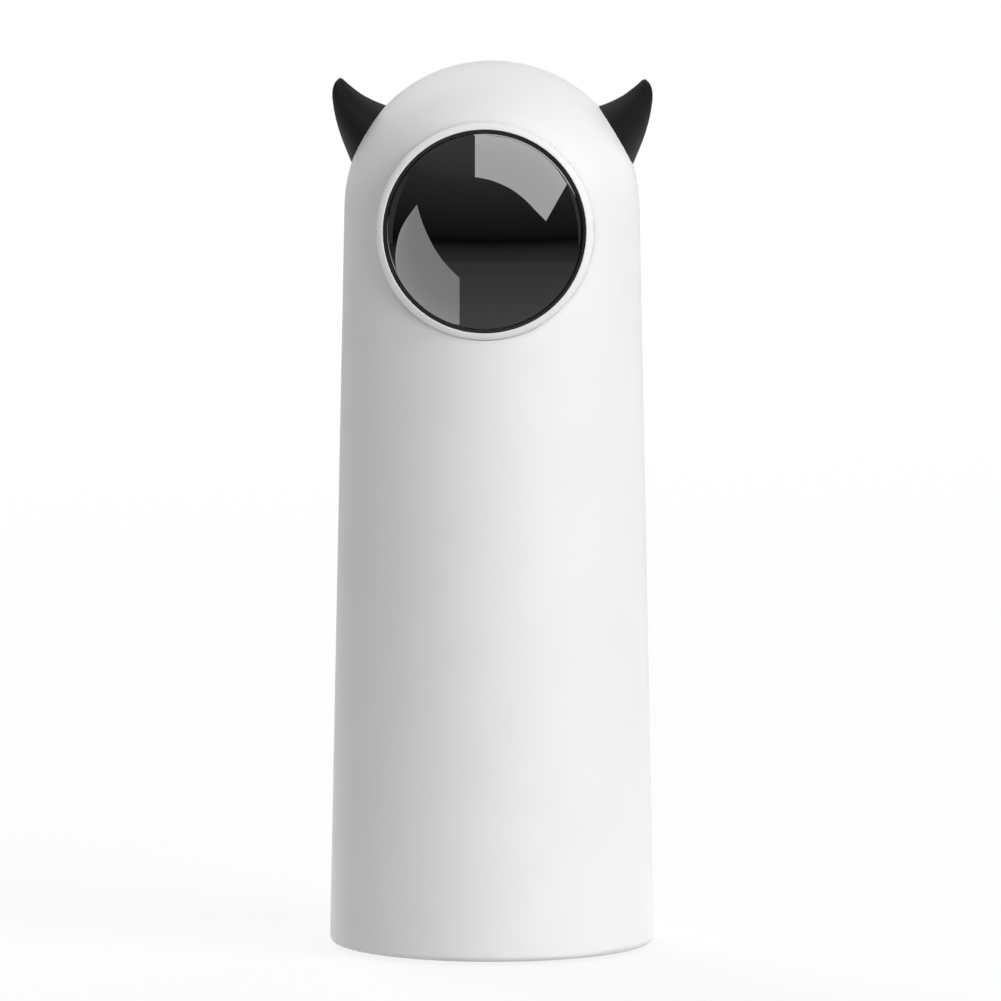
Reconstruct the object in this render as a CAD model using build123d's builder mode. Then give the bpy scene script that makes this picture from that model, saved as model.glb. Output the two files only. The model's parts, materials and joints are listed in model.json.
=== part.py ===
from build123d import *
from math import acos, cos, hypot, pi, radians, sin, sqrt, tan
import os

# Automatic cat laser toy: a white tube-shaped body with a round head, two horns and a domed dark
# window, holding a laser that one small motor pans and another tilts. Millimetres, +Z up, the
# origin at the centre of the foot pad on the floor, the window facing -Y.

os.makedirs("parts", exist_ok=True)

# ---------------------------------------------------------------- clearances
SLIP = 0.05
RUN = 0.06
GAP = 0.3
HOLE_GAP = 0.15
TOUCH = 0.1

# ---------------------------------------------------------------- overall form
HEIGHT = 150.0
BASE_RADIUS = 27.5
HEAD_RADIUS = 24.9
WALL = 1.8
RIM_Z = 0.6
RIM_FILLET = 1.1
DOME_Z = HEIGHT - HEAD_RADIUS
OUTSIDE = 2 * BASE_RADIUS


def wall_radius(z):
    """Outer radius of the tapered body at height z."""
    return BASE_RADIUS + (HEAD_RADIUS - BASE_RADIUS) * z / DOME_Z


def wall_inside(z, half_width):
    """Distance from the axis to the inside of the wall, half_width to one side, at height z."""
    return sqrt((wall_radius(z) - WALL) ** 2 - half_width**2)


# ---------------------------------------------------------------- window, its ring and black rim
WINDOW_TILT = 5.5
WINDOW_DROP = 1.8
WINDOW_Z = DOME_Z - WINDOW_DROP
RING_RADIUS = 18.2
RING_WIDTH = 1.2
RING_INNER = RING_RADIUS - RING_WIDTH
RING_DEPTH = 2.2
RING_PROUD = 0.6
RING_FILLET = 0.45
WINDOW_REACH = (
    wall_radius(WINDOW_Z - RING_RADIUS) + RING_PROUD - RING_RADIUS * sin(radians(WINDOW_TILT))
)
SPIGOT_STEP = 0.65
SPIGOT_RADIUS = RING_INNER - SPIGOT_STEP
SPIGOT_WALL = 0.95
SPIGOT_INNER = SPIGOT_RADIUS - SPIGOT_WALL
SPIGOT_DEPTH = 5.6
SEAT_DEPTH = 1.5
GASKET_WIDTH = 0.6
GASKET_RADIUS = RING_INNER - SLIP
GASKET_INNER = RING_INNER - GASKET_WIDTH
GASKET_RECESS = 0.1
GLASS_RADIUS = GASKET_INNER - SLIP
GLASS_RIM = 0.35
GLASS_CURVE = 29.0
GLASS_THICKNESS = 1.4
BOSS_BORE = SPIGOT_RADIUS + SLIP
BOSS_DEPTH = 13.0
COLLAR_DEPTH = SPIGOT_DEPTH + 0.8
BORE_DEPTH = BOSS_DEPTH + RING_DEPTH + 1.0

# ---------------------------------------------------------------- horns
# Each row is one cross-section of a horn: how far its lower edge stands out from the seat on the
# head and how far it lies above the seat's centre line, then the same for its upper edge.
HORN_SECTIONS = (
    (-2.48, -5.90, -2.64, 6.20),
    (-0.50, -5.45, -0.55, 5.80),
    (3.12, -2.59, 3.00, 5.40),
    (5.94, 0.05, 5.10, 5.48),
    (7.78, 2.33, 6.69, 5.69),
)
HORN_TIP = (7.55, 4.85)
HORN_TIP_RADIUS = 1.1
HORN_TIP_TAPER = 29.5
HORN_DEPTH_RATIO = 0.9
HORN_ANGLE = 30.3
PEG_RADIUS = 2.0
PEG_INNER = HEAD_RADIUS - 5.1
PEG_OUTER = HEAD_RADIUS + 1.5
RETAINER_RADIUS = 4.5
RETAINER_THICKNESS = 1.2
RETAINER_SEAT = sqrt((HEAD_RADIUS - WALL) ** 2 - RETAINER_RADIUS**2) - SLIP

# ---------------------------------------------------------------- bottom closure
PLATE_GAP = 0.3
PLATE_RADIUS = BASE_RADIUS - WALL - PLATE_GAP
PLATE_THICKNESS = 2.2
PLATE_TOP = RIM_Z + PLATE_THICKNESS
BASE_SCREW_INSET = 4.1
BASE_SCREW_CIRCLE = BASE_RADIUS - WALL - BASE_SCREW_INSET
BASE_SCREW_ANGLES = (45.0, 135.0, 270.0)
BASE_SCREW_SHANK = 1.0
BASE_SCREW_HEAD = 2.0
BASE_SCREW_HEAD_HEIGHT = 1.1
BASE_SCREW_RECESS = 1.3
BASE_SCREW_LENGTH = 10.0
BASE_SEAT_Z = RIM_Z + BASE_SCREW_RECESS
PAD_RADIUS = BASE_SCREW_CIRCLE - BASE_SCREW_HEAD - 1.1
PAD_RECESS = 1.1
PAD_TOP = RIM_Z + PAD_RECESS
PAD_TREAD_WIDTH = 1.1
PAD_TREAD_INSET = 1.9
PAD_TREAD_DEPTH = 0.4
PILOT_SPARE = 1.0

# ---------------------------------------------------------------- chassis, from the base plate up
FLANGE_GAP = 1.1
FLANGE_RADIUS = BASE_RADIUS - WALL - FLANGE_GAP
FLANGE_THICKNESS = 2.0
FLANGE_TOP = PLATE_TOP + FLANGE_THICKNESS
SHELL_BOSS_RADIUS = 2.6
SHELL_BOSS_HEIGHT = 9.2
SHELL_BOSS_TOP = FLANGE_TOP + SHELL_BOSS_HEIGHT
SHELL_RIB_WIDTH = 2.0
SHELL_RIB_REACH = wall_radius(SHELL_BOSS_TOP) - WALL / 2
SPINE_FRONT = 4.0
SPINE_THICKNESS = 2.0
SPINE_BACK = SPINE_FRONT + SPINE_THICKNESS
POST_RADIUS = 2.5
POST_X = 14.5
FRONT_POST_Y = -12.5
REAR_POST_Y = SPINE_BACK + 1.0
POSTS = ((-POST_X, FRONT_POST_Y), (POST_X, FRONT_POST_Y), (-POST_X, REAR_POST_Y), (POST_X, REAR_POST_Y))

# ---------------------------------------------------------------- rechargeable cell
CELL_RADIUS = 9.3
CELL_Y = SPINE_FRONT - CELL_RADIUS - TOUCH
CELL_FLOOR = 1.6
CELL_BOTTOM = FLANGE_TOP + CELL_FLOOR
CELL_HEIGHT = 65.0
CELL_TOP = CELL_BOTTOM + CELL_HEIGHT
CELL_GROOVE_DROP = 4.5
CELL_GROOVE_WIDTH = 1.0
CELL_GROOVE_DEPTH = 0.35
CELL_EDGE = 0.8
CUP_WALL = 1.1
CUP_RADIUS = CELL_RADIUS + CUP_WALL
CUP_TOP = CELL_BOTTOM + 6.6
BOARD_RADIUS = CELL_RADIUS - 2 * CELL_EDGE
BOARD_THICKNESS = 1.0
BOARD_CHIP = (4.0, 3.0, 0.9)
STRAP_Z = (CELL_BOTTOM + CELL_TOP) / 2 + 5.0
STRAP_HEIGHT = 8.0
STRAP_THICKNESS = 1.0
STRAP_INNER = CELL_RADIUS + SLIP
STRAP_OUTER = STRAP_INNER + STRAP_THICKNESS
STRAP_TAB_THICKNESS = 1.2
STRAP_TAB_FRONT = SPINE_FRONT - STRAP_TAB_THICKNESS
SMALL_SHANK = 0.8
SMALL_HEAD = 1.6
SMALL_HEAD_HEIGHT = 0.9
STRAP_SCREW_X = STRAP_OUTER + SMALL_HEAD + 1.05
STRAP_TAB_REACH = STRAP_SCREW_X + SMALL_HEAD + 0.8
STRAP_SCREW_LENGTH = 4.0
SPINE_HALF_WIDTH = STRAP_TAB_REACH

# ---------------------------------------------------------------- deck
DECK_RISE = 12.6
DECK_BOTTOM = CELL_TOP + DECK_RISE
DECK_THICKNESS = 2.5
DECK_TOP = DECK_BOTTOM + DECK_THICKNESS
DECK_GAP = 0.9
DECK_RADIUS = wall_radius(DECK_TOP) - WALL - DECK_GAP
DECK_SCREW_SHANK = 0.9
DECK_SCREW_HEAD = 1.8
DECK_SCREW_HEAD_HEIGHT = 1.1
DECK_SCREW_LENGTH = 8.0

# ---------------------------------------------------------------- main circuit board
PCB_FRONT = SPINE_BACK + 9.0
PCB_THICKNESS = 1.6
PCB_BACK = PCB_FRONT + PCB_THICKNESS
PCB_HALF_WIDTH = 14.0
PCB_BOTTOM = SHELL_BOSS_TOP + 3.0
PCB_HEIGHT = 53.0
PCB_TOP = PCB_BOTTOM + PCB_HEIGHT
PCB_CORNER = 1.0
PCB_SCREW_X = 11.5
PCB_SCREW_Z = (PCB_BOTTOM + 5.0, PCB_TOP - 4.0)
PCB_SCREW_LENGTH = 6.0
STANDOFF_RADIUS = 2.2
BATTERY_PLUG = (7.0, 5.0, 5.0)
BATTERY_PLUG_X = 5.0
BATTERY_PLUG_Z = PCB_TOP - 8.0
PLUG_MIDDLE_Y = PCB_FRONT - BATTERY_PLUG[1] / 2
MOTOR_PLUG = (7.0, 3.4, 5.0)
MOTOR_PLUG_X = 5.5
MOTOR_PLUG_Z = PCB_TOP - 5.5
MOTOR_PLUG_Y = PCB_BACK + MOTOR_PLUG[1] / 2
# x, height above the board's lower edge, then width, depth and height of each small component.
SMALL_PARTS = (
    (-9.0, 35.0, 2.0, 1.2, 1.2),
    (-9.0, 31.5, 2.0, 1.2, 1.2),
    (9.0, 37.5, 1.2, 0.8, 2.0),
    (9.0, 34.0, 1.2, 0.8, 2.0),
    (-9.5, 23.0, 4.0, 2.0, 4.0),
    (-9.0, 16.5, 2.0, 1.2, 1.2),
    (9.0, 23.5, 3.0, 1.2, 3.0),
    (8.0, 17.0, 1.2, 0.8, 2.0),
    (10.5, 17.0, 1.2, 0.8, 2.0),
    (-8.0, 10.5, 2.0, 0.8, 1.2),
    (8.0, 10.5, 2.0, 0.8, 1.2),
)

# ---------------------------------------------------------------- charging port, light and button
PORT_Z = PCB_BOTTOM + 5.0
PORT_WIDTH = 8.94
PORT_HEIGHT = 3.26
PORT_METAL = 0.3
PORT_RECESS = 0.5
PORT_END = wall_radius(PORT_Z) - PORT_RECESS
PORT_CAVITY = 6.4
TONGUE_WIDTH = 6.7
TONGUE_THICKNESS = 0.7
TONGUE_LENGTH = 4.6
PORT_OPENING_GAP = 0.18
LIGHT_Z = PORT_Z + 10.0
LIGHT_RADIUS = 1.0
LIGHT_COLLAR_RADIUS = 2.0
LIGHT_COLLAR_FRONT = wall_inside(LIGHT_Z + LIGHT_COLLAR_RADIUS, LIGHT_COLLAR_RADIUS) - GAP
LIGHT_COLLAR_THICKNESS = 1.0
LIGHT_RECESS = 0.1
LIGHT_END = wall_radius(LIGHT_Z) - LIGHT_RECESS
LED = (1.6, 0.9, 0.8)
LIGHT_START = PCB_BACK + LED[1] + GAP
BUTTON_Z = LIGHT_Z + 11.0
BUTTON_RADIUS = 4.0
BUTTON_PROUD = 0.4
BUTTON_FACE = wall_radius(BUTTON_Z) + BUTTON_PROUD
BUTTON_CROWN = 0.35
BUTTON_FLANGE_RADIUS = 5.2
BUTTON_FLANGE_FRONT = wall_inside(BUTTON_Z + BUTTON_FLANGE_RADIUS, BUTTON_FLANGE_RADIUS) - GAP
BUTTON_FLANGE_THICKNESS = 1.0
BUTTON_FLANGE_BACK = BUTTON_FLANGE_FRONT - BUTTON_FLANGE_THICKNESS
BUTTON_STEM_RADIUS = 1.5
SWITCH_SIZE = 6.0
SWITCH_DEPTH = 3.5
SWITCH_BACK = PCB_BACK + SWITCH_DEPTH
SWITCH_TRAVEL = 0.5
PLUNGER_RADIUS = 1.7
PLUNGER_PROUD = 0.9
PLUNGER_SUNK = 1.3
PLUNGER_END = SWITCH_BACK + PLUNGER_PROUD
PLUNGER_START = SWITCH_BACK - PLUNGER_SUNK
PLUNGER_POCKET = PLUNGER_START - SWITCH_TRAVEL - TOUCH
BUTTON_STEM_END = PLUNGER_END + TOUCH
CHIP = (7.0, 1.0, 7.0)
CHIP_Z = BUTTON_Z + 11.0

# ---------------------------------------------------------------- gears
PRESSURE_ANGLE = radians(25.0)
MODULE = 0.5
ADDENDUM = 0.9 * MODULE
DEDENDUM = 1.2 * MODULE
TOOTH_THINNING = 0.06
FLANK_STEPS = 5
PAN_TEETH = 43
PAN_PINION_TEETH = 12
TILT_TEETH = 36
TILT_PINION_TEETH = 10
PAN_CENTRES = MODULE * (PAN_TEETH + PAN_PINION_TEETH) / 2
TILT_CENTRES = MODULE * (TILT_TEETH + TILT_PINION_TEETH) / 2

# ---------------------------------------------------------------- pan drive
PAN_MOTOR_RADIUS = 7.5
PAN_MOTOR_HEIGHT = 12.0
PAN_MOTOR_BOTTOM = DECK_BOTTOM - PAN_MOTOR_HEIGHT
PAN_MOTOR_FLANGE = 0.8
PAN_MOTOR_EAR_X = PAN_MOTOR_RADIUS + 2.5
PAN_MOTOR_EAR_RADIUS = 2.4
PAN_MOTOR_BOSS_RADIUS = 3.0
PAN_MOTOR_BOSS_HEIGHT = 1.2
PAN_MOTOR_BOSS_TOP = DECK_BOTTOM + PAN_MOTOR_BOSS_HEIGHT
PAN_SHAFT_RADIUS = 0.75
PAN_SHAFT_DEPTH = 6.0
TERMINAL = (5.0, 1.7, 5.0)
TERMINAL_PROUD = 1.0
TERMINAL_Y = PAN_CENTRES + PAN_MOTOR_RADIUS + TERMINAL_PROUD - TERMINAL[1] / 2
TERMINAL_BOTTOM = PAN_MOTOR_BOTTOM + 2.0
MOTOR_LEADS = 4
MOTOR_LEAD_PITCH = 1.4
MOTOR_LEAD_RADIUS = 0.4
MOTOR_LEAD_DROP = 2.6
MOTOR_LEAD_RUN = 1.8
MOTOR_LEAD_BEND = 1.2
MOTOR_LEAD_Y = PAN_CENTRES + PAN_MOTOR_RADIUS + MOTOR_LEAD_RADIUS + TOUCH
MOTOR_LEAD_END_Z = MOTOR_PLUG_Z + MOTOR_PLUG[2] / 2
AXLE_RADIUS = 2.0
AXLE_HEAD_RADIUS = 4.0
AXLE_HEAD_HEIGHT = 1.5
AXLE_CHAMFER = 0.3
WASHER_RADIUS = 5.0
WASHER_THICKNESS = 0.7
TABLE_BOTTOM = DECK_TOP + WASHER_THICKNESS + TOUCH
TABLE_HUB_RADIUS = 5.0
TABLE_GEAR_BOTTOM = TABLE_BOTTOM + 1.2
TABLE_GEAR_THICKNESS = 2.5
TABLE_GEAR_TOP = TABLE_GEAR_BOTTOM + TABLE_GEAR_THICKNESS
TABLE_TOP = TABLE_GEAR_TOP + 0.5
TABLE_STEP_RADIUS = MODULE * PAN_TEETH / 2 - ADDENDUM - 0.5
PINION_OVERLAP = 0.2
PINION_BOTTOM = TABLE_GEAR_BOTTOM - PINION_OVERLAP
PINION_TOP = TABLE_GEAR_TOP + PINION_OVERLAP
PINION_REACH = MODULE * PAN_PINION_TEETH / 2 + ADDENDUM
YOKE_FLOOR_THICKNESS = 2.5
YOKE_FLOOR = TABLE_TOP + YOKE_FLOOR_THICKNESS
CLIP_BOTTOM = YOKE_FLOOR + GAP
CLIP_THICKNESS = 0.8
CLIP_RADIUS = 3.9
CLIP_GROOVE_RADIUS = 1.5
AXLE_TOP = CLIP_BOTTOM + CLIP_THICKNESS + 0.9

# ---------------------------------------------------------------- battery leads
LEAD_RADIUS = 0.55
LEAD_SPACING = 1.7
LEAD_BEND = 1.5
LEAD_START_X = 2.0
LEAD_START_Y = CELL_Y + 2.0
LEAD_START_Z = CELL_TOP + BOARD_THICKNESS
LEAD_CREST_Z = LEAD_START_Z + 4.35
LEAD_WINDOW_X = PAN_MOTOR_RADIUS + 2.5
LEAD_WINDOW_WIDTH = 4.4
LEAD_WINDOW_HEIGHT = 6.5
LEAD_DROP_Y = SPINE_BACK + 3.3
LEAD_TURN_Z = PAN_MOTOR_BOTTOM - 1.2
LEAD_END_Z = BATTERY_PLUG_Z + BATTERY_PLUG[2] / 2
LEAD_END_RUN = 3.0

# ---------------------------------------------------------------- laser head, yoke and tilt drive
TILT_RISE = 27.0
TILT_Z = YOKE_FLOOR + TILT_RISE
BARREL_RADIUS = 3.0
BARREL_FRONT = -11.0
BARREL_BACK = 4.0
BARREL_STEP_RADIUS = 2.7
BARREL_STEP_LENGTH = 2.0
BEAM_RADIUS = 1.6
BEAM_DEPTH = 2.4
COLLIMATOR_DEPTH = 0.8
COLLIMATOR_THICKNESS = 1.2
DRIVER_THICKNESS = 0.8
DRIVER_RADIUS = 2.7
CARRIER_HALF_WIDTH = BARREL_RADIUS + 2.0
CARRIER_HALF_HEIGHT = BARREL_RADIUS + 1.5
CARRIER_FRONT = -5.0
CARRIER_BACK = BARREL_BACK
CARRIER_EDGE = 0.8
WEB_LEFT = CARRIER_HALF_WIDTH + 1.0
WEB_THICKNESS = 1.5
WEB_RIGHT = WEB_LEFT + WEB_THICKNESS
TILT_GEAR_LEFT = WEB_RIGHT + 0.7
TILT_GEAR_THICKNESS = 2.0
TILT_GEAR_RIGHT = TILT_GEAR_LEFT + TILT_GEAR_THICKNESS
ARM_INNER = TILT_GEAR_RIGHT + 0.8
ARM_THICKNESS = 2.5
ARM_OUTER = ARM_INNER + ARM_THICKNESS
ARM_HALF_DEPTH = 4.5
ARM_TOP = TILT_Z + ARM_HALF_DEPTH
YOKE_FLOOR_RADIUS = hypot(ARM_OUTER, ARM_HALF_DEPTH) + HOLE_GAP
YOKE_SCREW_Y = 7.7
YOKE_SCREW_LENGTH = 4.5
TILT_MOTOR_Z = TILT_Z - TILT_CENTRES
TILT_MOTOR_RADIUS = 4.0
TILT_MOTOR_LEFT = WEB_LEFT - 13.0
TILT_MOTOR_EAR_THICKNESS = 0.8
TILT_MOTOR_EAR_Y = TILT_MOTOR_RADIUS + 1.4
TILT_MOTOR_EAR_RADIUS = 1.4
TILT_MOTOR_BOSS_RADIUS = 1.5
TILT_MOTOR_BOSS_LENGTH = 0.9
TILT_SHAFT_RADIUS = 0.5
TILT_SHAFT_DEPTH = 4.0
WEB_TOP = TILT_MOTOR_Z + TILT_MOTOR_RADIUS
WEB_HALF_DEPTH = TILT_MOTOR_EAR_Y + TILT_MOTOR_EAR_RADIUS + 0.2
TINY_SHANK = 0.5
TINY_HEAD = 1.0
TINY_HEAD_HEIGHT = 0.6
TINY_LENGTH = WEB_THICKNESS + TILT_MOTOR_EAR_THICKNESS - 0.4
SECTOR_HALF_ANGLE = radians(42.0)
SECTOR_HUB_RADIUS = 4.0
SECTOR_REACH = MODULE * TILT_TEETH
TRUNNION_RADIUS = 2.2
PIVOT_RADIUS = 1.0
PIVOT_INNER = BARREL_RADIUS + GAP
PIVOT_OUTER = ARM_OUTER - 0.2


def facing(y):
    """Plane whose normal is -Y at depth y, with local X along +X and local Y along +Z."""
    return Plane.XZ.offset(-y)


def side(x):
    """Plane whose normal is +X at x, with local X along +Y and local Y along +Z."""
    return Plane.YZ.offset(x)


def gear_outline(teeth, phase):
    """Corner points of a spur gear with involute flanks, one tooth centred on angle phase."""
    pitch = MODULE * teeth / 2
    base = pitch * cos(PRESSURE_ANGLE)
    tip = pitch + ADDENDUM
    root = pitch - DEDENDUM
    start = max(base, root)
    half_tooth = pi / (2 * teeth) - TOOTH_THINNING / (2 * pitch)
    pitch_involute = tan(PRESSURE_ANGLE) - PRESSURE_ANGLE
    flank = []
    for step in range(FLANK_STEPS + 1):
        radius = start + (tip - start) * step / FLANK_STEPS
        angle = acos(base / radius)
        flank.append((radius, half_tooth + pitch_involute - (tan(angle) - angle)))
    if root < base:
        flank.insert(0, (root, flank[0][1]))
    points = []
    for tooth in range(teeth):
        middle = phase + 2 * pi * tooth / teeth
        for radius, spread in flank:
            points.append((radius * cos(middle - spread), radius * sin(middle - spread)))
        for radius, spread in reversed(flank):
            points.append((radius * cos(middle + spread), radius * sin(middle + spread)))
    return points


def cap_screw(head_radius, head_height, shank_radius, shank_length):
    """Round-headed screw with a cross recess, its seat at the origin and its shank along -Z."""
    with BuildPart() as screw:
        with BuildSketch(Plane.XY):
            Circle(head_radius)
        extrude(amount=head_height)
        fillet(screw.edges().group_by(Axis.Z)[-1], radius=head_height / 3)
        with BuildSketch(Plane.XY.offset(head_height)):
            Rectangle(head_radius * 1.1, head_radius / 4)
            Rectangle(head_radius / 4, head_radius * 1.1)
        extrude(amount=-head_height / 2, mode=Mode.SUBTRACT)
        with BuildSketch(Plane.XY):
            Circle(shank_radius)
        extrude(amount=-shank_length)
    return screw.part


WINDOW_AXIS = Vector(0, -cos(radians(WINDOW_TILT)), sin(radians(WINDOW_TILT)))
WINDOW_CENTRE = Vector(0, -WINDOW_REACH, WINDOW_Z)
WINDOW_PLANE = Plane(origin=WINDOW_CENTRE, x_dir=(1, 0, 0), z_dir=WINDOW_AXIS)
WINDOW_SECTION = Plane(
    origin=WINDOW_CENTRE,
    x_dir=(1, 0, 0),
    z_dir=(0, -sin(radians(WINDOW_TILT)), -cos(radians(WINDOW_TILT))),
)
WINDOW_LINE = Axis(WINDOW_CENTRE, WINDOW_AXIS)

base_screw_spots = []
for angle in BASE_SCREW_ANGLES:
    base_screw_spots.append(
        (BASE_SCREW_CIRCLE * cos(radians(angle)), BASE_SCREW_CIRCLE * sin(radians(angle)))
    )

# ================================================================ outer shell
# One moulding open at the bottom: tapered tube, hemispherical head, round boss for the window,
# three screw bosses inside the rim and the openings at the back.
CORNER = cos(radians(45.0))
INNER_HEAD = HEAD_RADIUS - WALL
with BuildPart() as outer_shell:
    with BuildSketch(Plane.XZ):
        with BuildLine():
            Line((0, RIM_Z), (wall_radius(RIM_Z), RIM_Z))
            Line((wall_radius(RIM_Z), RIM_Z), (HEAD_RADIUS, DOME_Z))
            ThreePointArc(
                (HEAD_RADIUS, DOME_Z),
                (HEAD_RADIUS * CORNER, DOME_Z + HEAD_RADIUS * CORNER),
                (0, HEIGHT),
            )
            Line((0, HEIGHT), (0, RIM_Z))
        make_face()
    revolve(axis=Axis.Z)
    fillet(outer_shell.edges().sort_by(Axis.Z)[0], radius=RIM_FILLET)
    with BuildSketch(WINDOW_PLANE.offset(-RING_DEPTH)):
        Circle(RING_RADIUS)
    extrude(amount=-BOSS_DEPTH)
    with BuildSketch(Plane.XZ):
        with BuildLine():
            Line((0, 0), (wall_radius(0) - WALL, 0))
            Line((wall_radius(0) - WALL, 0), (INNER_HEAD, DOME_Z))
            ThreePointArc(
                (INNER_HEAD, DOME_Z),
                (INNER_HEAD * CORNER, DOME_Z + INNER_HEAD * CORNER),
                (0, DOME_Z + INNER_HEAD),
            )
            Line((0, DOME_Z + INNER_HEAD), (0, 0))
        make_face()
    revolve(axis=Axis.Z, mode=Mode.SUBTRACT)
    with BuildSketch(WINDOW_PLANE.offset(-RING_DEPTH)):
        Circle(RING_RADIUS)
    extrude(amount=RING_DEPTH - COLLAR_DEPTH)
    with BuildSketch(WINDOW_PLANE.offset(-RING_DEPTH)):
        Circle(RING_RADIUS + SLIP)
    extrude(amount=2 * RING_DEPTH, mode=Mode.SUBTRACT)
    with BuildSketch(WINDOW_PLANE):
        Circle(BOSS_BORE)
    extrude(amount=-BORE_DEPTH, mode=Mode.SUBTRACT)
    for angle in (HORN_ANGLE, 180 - HORN_ANGLE):
        peg_line = Vector(cos(radians(angle)), 0, sin(radians(angle)))
        with BuildSketch(Plane(origin=Vector(0, 0, DOME_Z) + peg_line * PEG_INNER, z_dir=peg_line)):
            Circle(PEG_RADIUS + SLIP)
        extrude(amount=PEG_OUTER - PEG_INNER, mode=Mode.SUBTRACT)
    for angle, spot in zip(BASE_SCREW_ANGLES, base_screw_spots):
        with BuildSketch(Plane.XY.offset(FLANGE_TOP)):
            with Locations(spot):
                Circle(SHELL_BOSS_RADIUS)
            with BuildLine():
                rib_start = Vector(spot[0], spot[1])
                rib_end = rib_start * (SHELL_RIB_REACH / BASE_SCREW_CIRCLE)
                across = Vector(-rib_start.Y, rib_start.X).normalized() * (SHELL_RIB_WIDTH / 2)
                Polyline(
                    rib_start - across, rib_end - across, rib_end + across, rib_start + across, close=True
                )
            make_face()
        extrude(amount=SHELL_BOSS_TOP - FLANGE_TOP)
    with BuildSketch(Plane.XY.offset(FLANGE_TOP)):
        with Locations(*base_screw_spots):
            Circle(BASE_SCREW_SHANK + SLIP)
    extrude(amount=BASE_SCREW_LENGTH + BASE_SEAT_Z + PILOT_SPARE - FLANGE_TOP, mode=Mode.SUBTRACT)
    with BuildSketch(facing(OUTSIDE)):
        with Locations((0, BUTTON_Z)):
            Circle(BUTTON_RADIUS + GAP)
        with Locations((0, LIGHT_Z)):
            Circle(LIGHT_RADIUS + SLIP)
        with Locations((0, PORT_Z)):
            SlotOverall(PORT_WIDTH + 2 * PORT_OPENING_GAP, PORT_HEIGHT + 2 * PORT_OPENING_GAP)
    extrude(amount=OUTSIDE - PCB_BACK, mode=Mode.SUBTRACT)
outer_shell.part.label = "outer_shell"
export_step(outer_shell.part, "parts/outer_shell.step")

# ================================================================ window ring, rim and glass
with BuildPart() as bezel_ring:
    with BuildSketch(WINDOW_SECTION):
        with BuildLine():
            Polyline(
                (RING_INNER, 0),
                (RING_RADIUS, 0),
                (RING_RADIUS, -RING_DEPTH),
                (SPIGOT_RADIUS, -RING_DEPTH),
                (SPIGOT_RADIUS, -SPIGOT_DEPTH),
                (SPIGOT_INNER, -SPIGOT_DEPTH),
                (SPIGOT_INNER, -SEAT_DEPTH),
                (RING_INNER, -SEAT_DEPTH),
                close=True,
            )
        make_face()
    revolve(axis=WINDOW_LINE)
    ring_front = bezel_ring.faces().sort_by(WINDOW_LINE)[-1]
    fillet(ring_front.edges().sort_by(SortBy.RADIUS)[-1], radius=RING_FILLET)
bezel_ring.part.label = "bezel_ring"
export_step(bezel_ring.part, "parts/bezel_ring.step")

with BuildPart() as lens_gasket:
    with BuildSketch(WINDOW_PLANE.offset(-SEAT_DEPTH)):
        Circle(GASKET_RADIUS)
        Circle(GASKET_INNER, mode=Mode.SUBTRACT)
    extrude(amount=SEAT_DEPTH - GASKET_RECESS)
lens_gasket.part.label = "lens_gasket"
export_step(lens_gasket.part, "parts/lens_gasket.step")

# Thin dome with a flat rim, its centre of curvature on the window's axis behind it.
GLASS_SAG = GLASS_CURVE - sqrt(GLASS_CURVE**2 - GLASS_RADIUS**2)
GLASS_CENTRE = GLASS_SAG - GLASS_RIM - GLASS_CURVE
GLASS_BACK_CURVE = GLASS_CURVE - GLASS_THICKNESS
GLASS_BACK_RADIUS = sqrt(GLASS_BACK_CURVE**2 - (-SEAT_DEPTH - GLASS_CENTRE) ** 2)
HALF_ANGLE = acos((-GLASS_RIM - GLASS_CENTRE) / GLASS_CURVE) / 2
BACK_HALF_ANGLE = acos((-SEAT_DEPTH - GLASS_CENTRE) / GLASS_BACK_CURVE) / 2
with BuildPart() as lens_window:
    with BuildSketch(WINDOW_SECTION):
        with BuildLine():
            ThreePointArc(
                (0, GLASS_CENTRE + GLASS_CURVE),
                (GLASS_CURVE * sin(HALF_ANGLE), GLASS_CENTRE + GLASS_CURVE * cos(HALF_ANGLE)),
                (GLASS_RADIUS, -GLASS_RIM),
            )
            Line((GLASS_RADIUS, -GLASS_RIM), (GLASS_RADIUS, -SEAT_DEPTH))
            Line((GLASS_RADIUS, -SEAT_DEPTH), (GLASS_BACK_RADIUS, -SEAT_DEPTH))
            ThreePointArc(
                (GLASS_BACK_RADIUS, -SEAT_DEPTH),
                (
                    GLASS_BACK_CURVE * sin(BACK_HALF_ANGLE),
                    GLASS_CENTRE + GLASS_BACK_CURVE * cos(BACK_HALF_ANGLE),
                ),
                (0, GLASS_CENTRE + GLASS_BACK_CURVE),
            )
            Line((0, GLASS_CENTRE + GLASS_BACK_CURVE), (0, GLASS_CENTRE + GLASS_CURVE))
        make_face()
    revolve(axis=WINDOW_LINE)
lens_window.part.label = "lens_window"
export_step(lens_window.part, "parts/lens_window.step")


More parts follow.
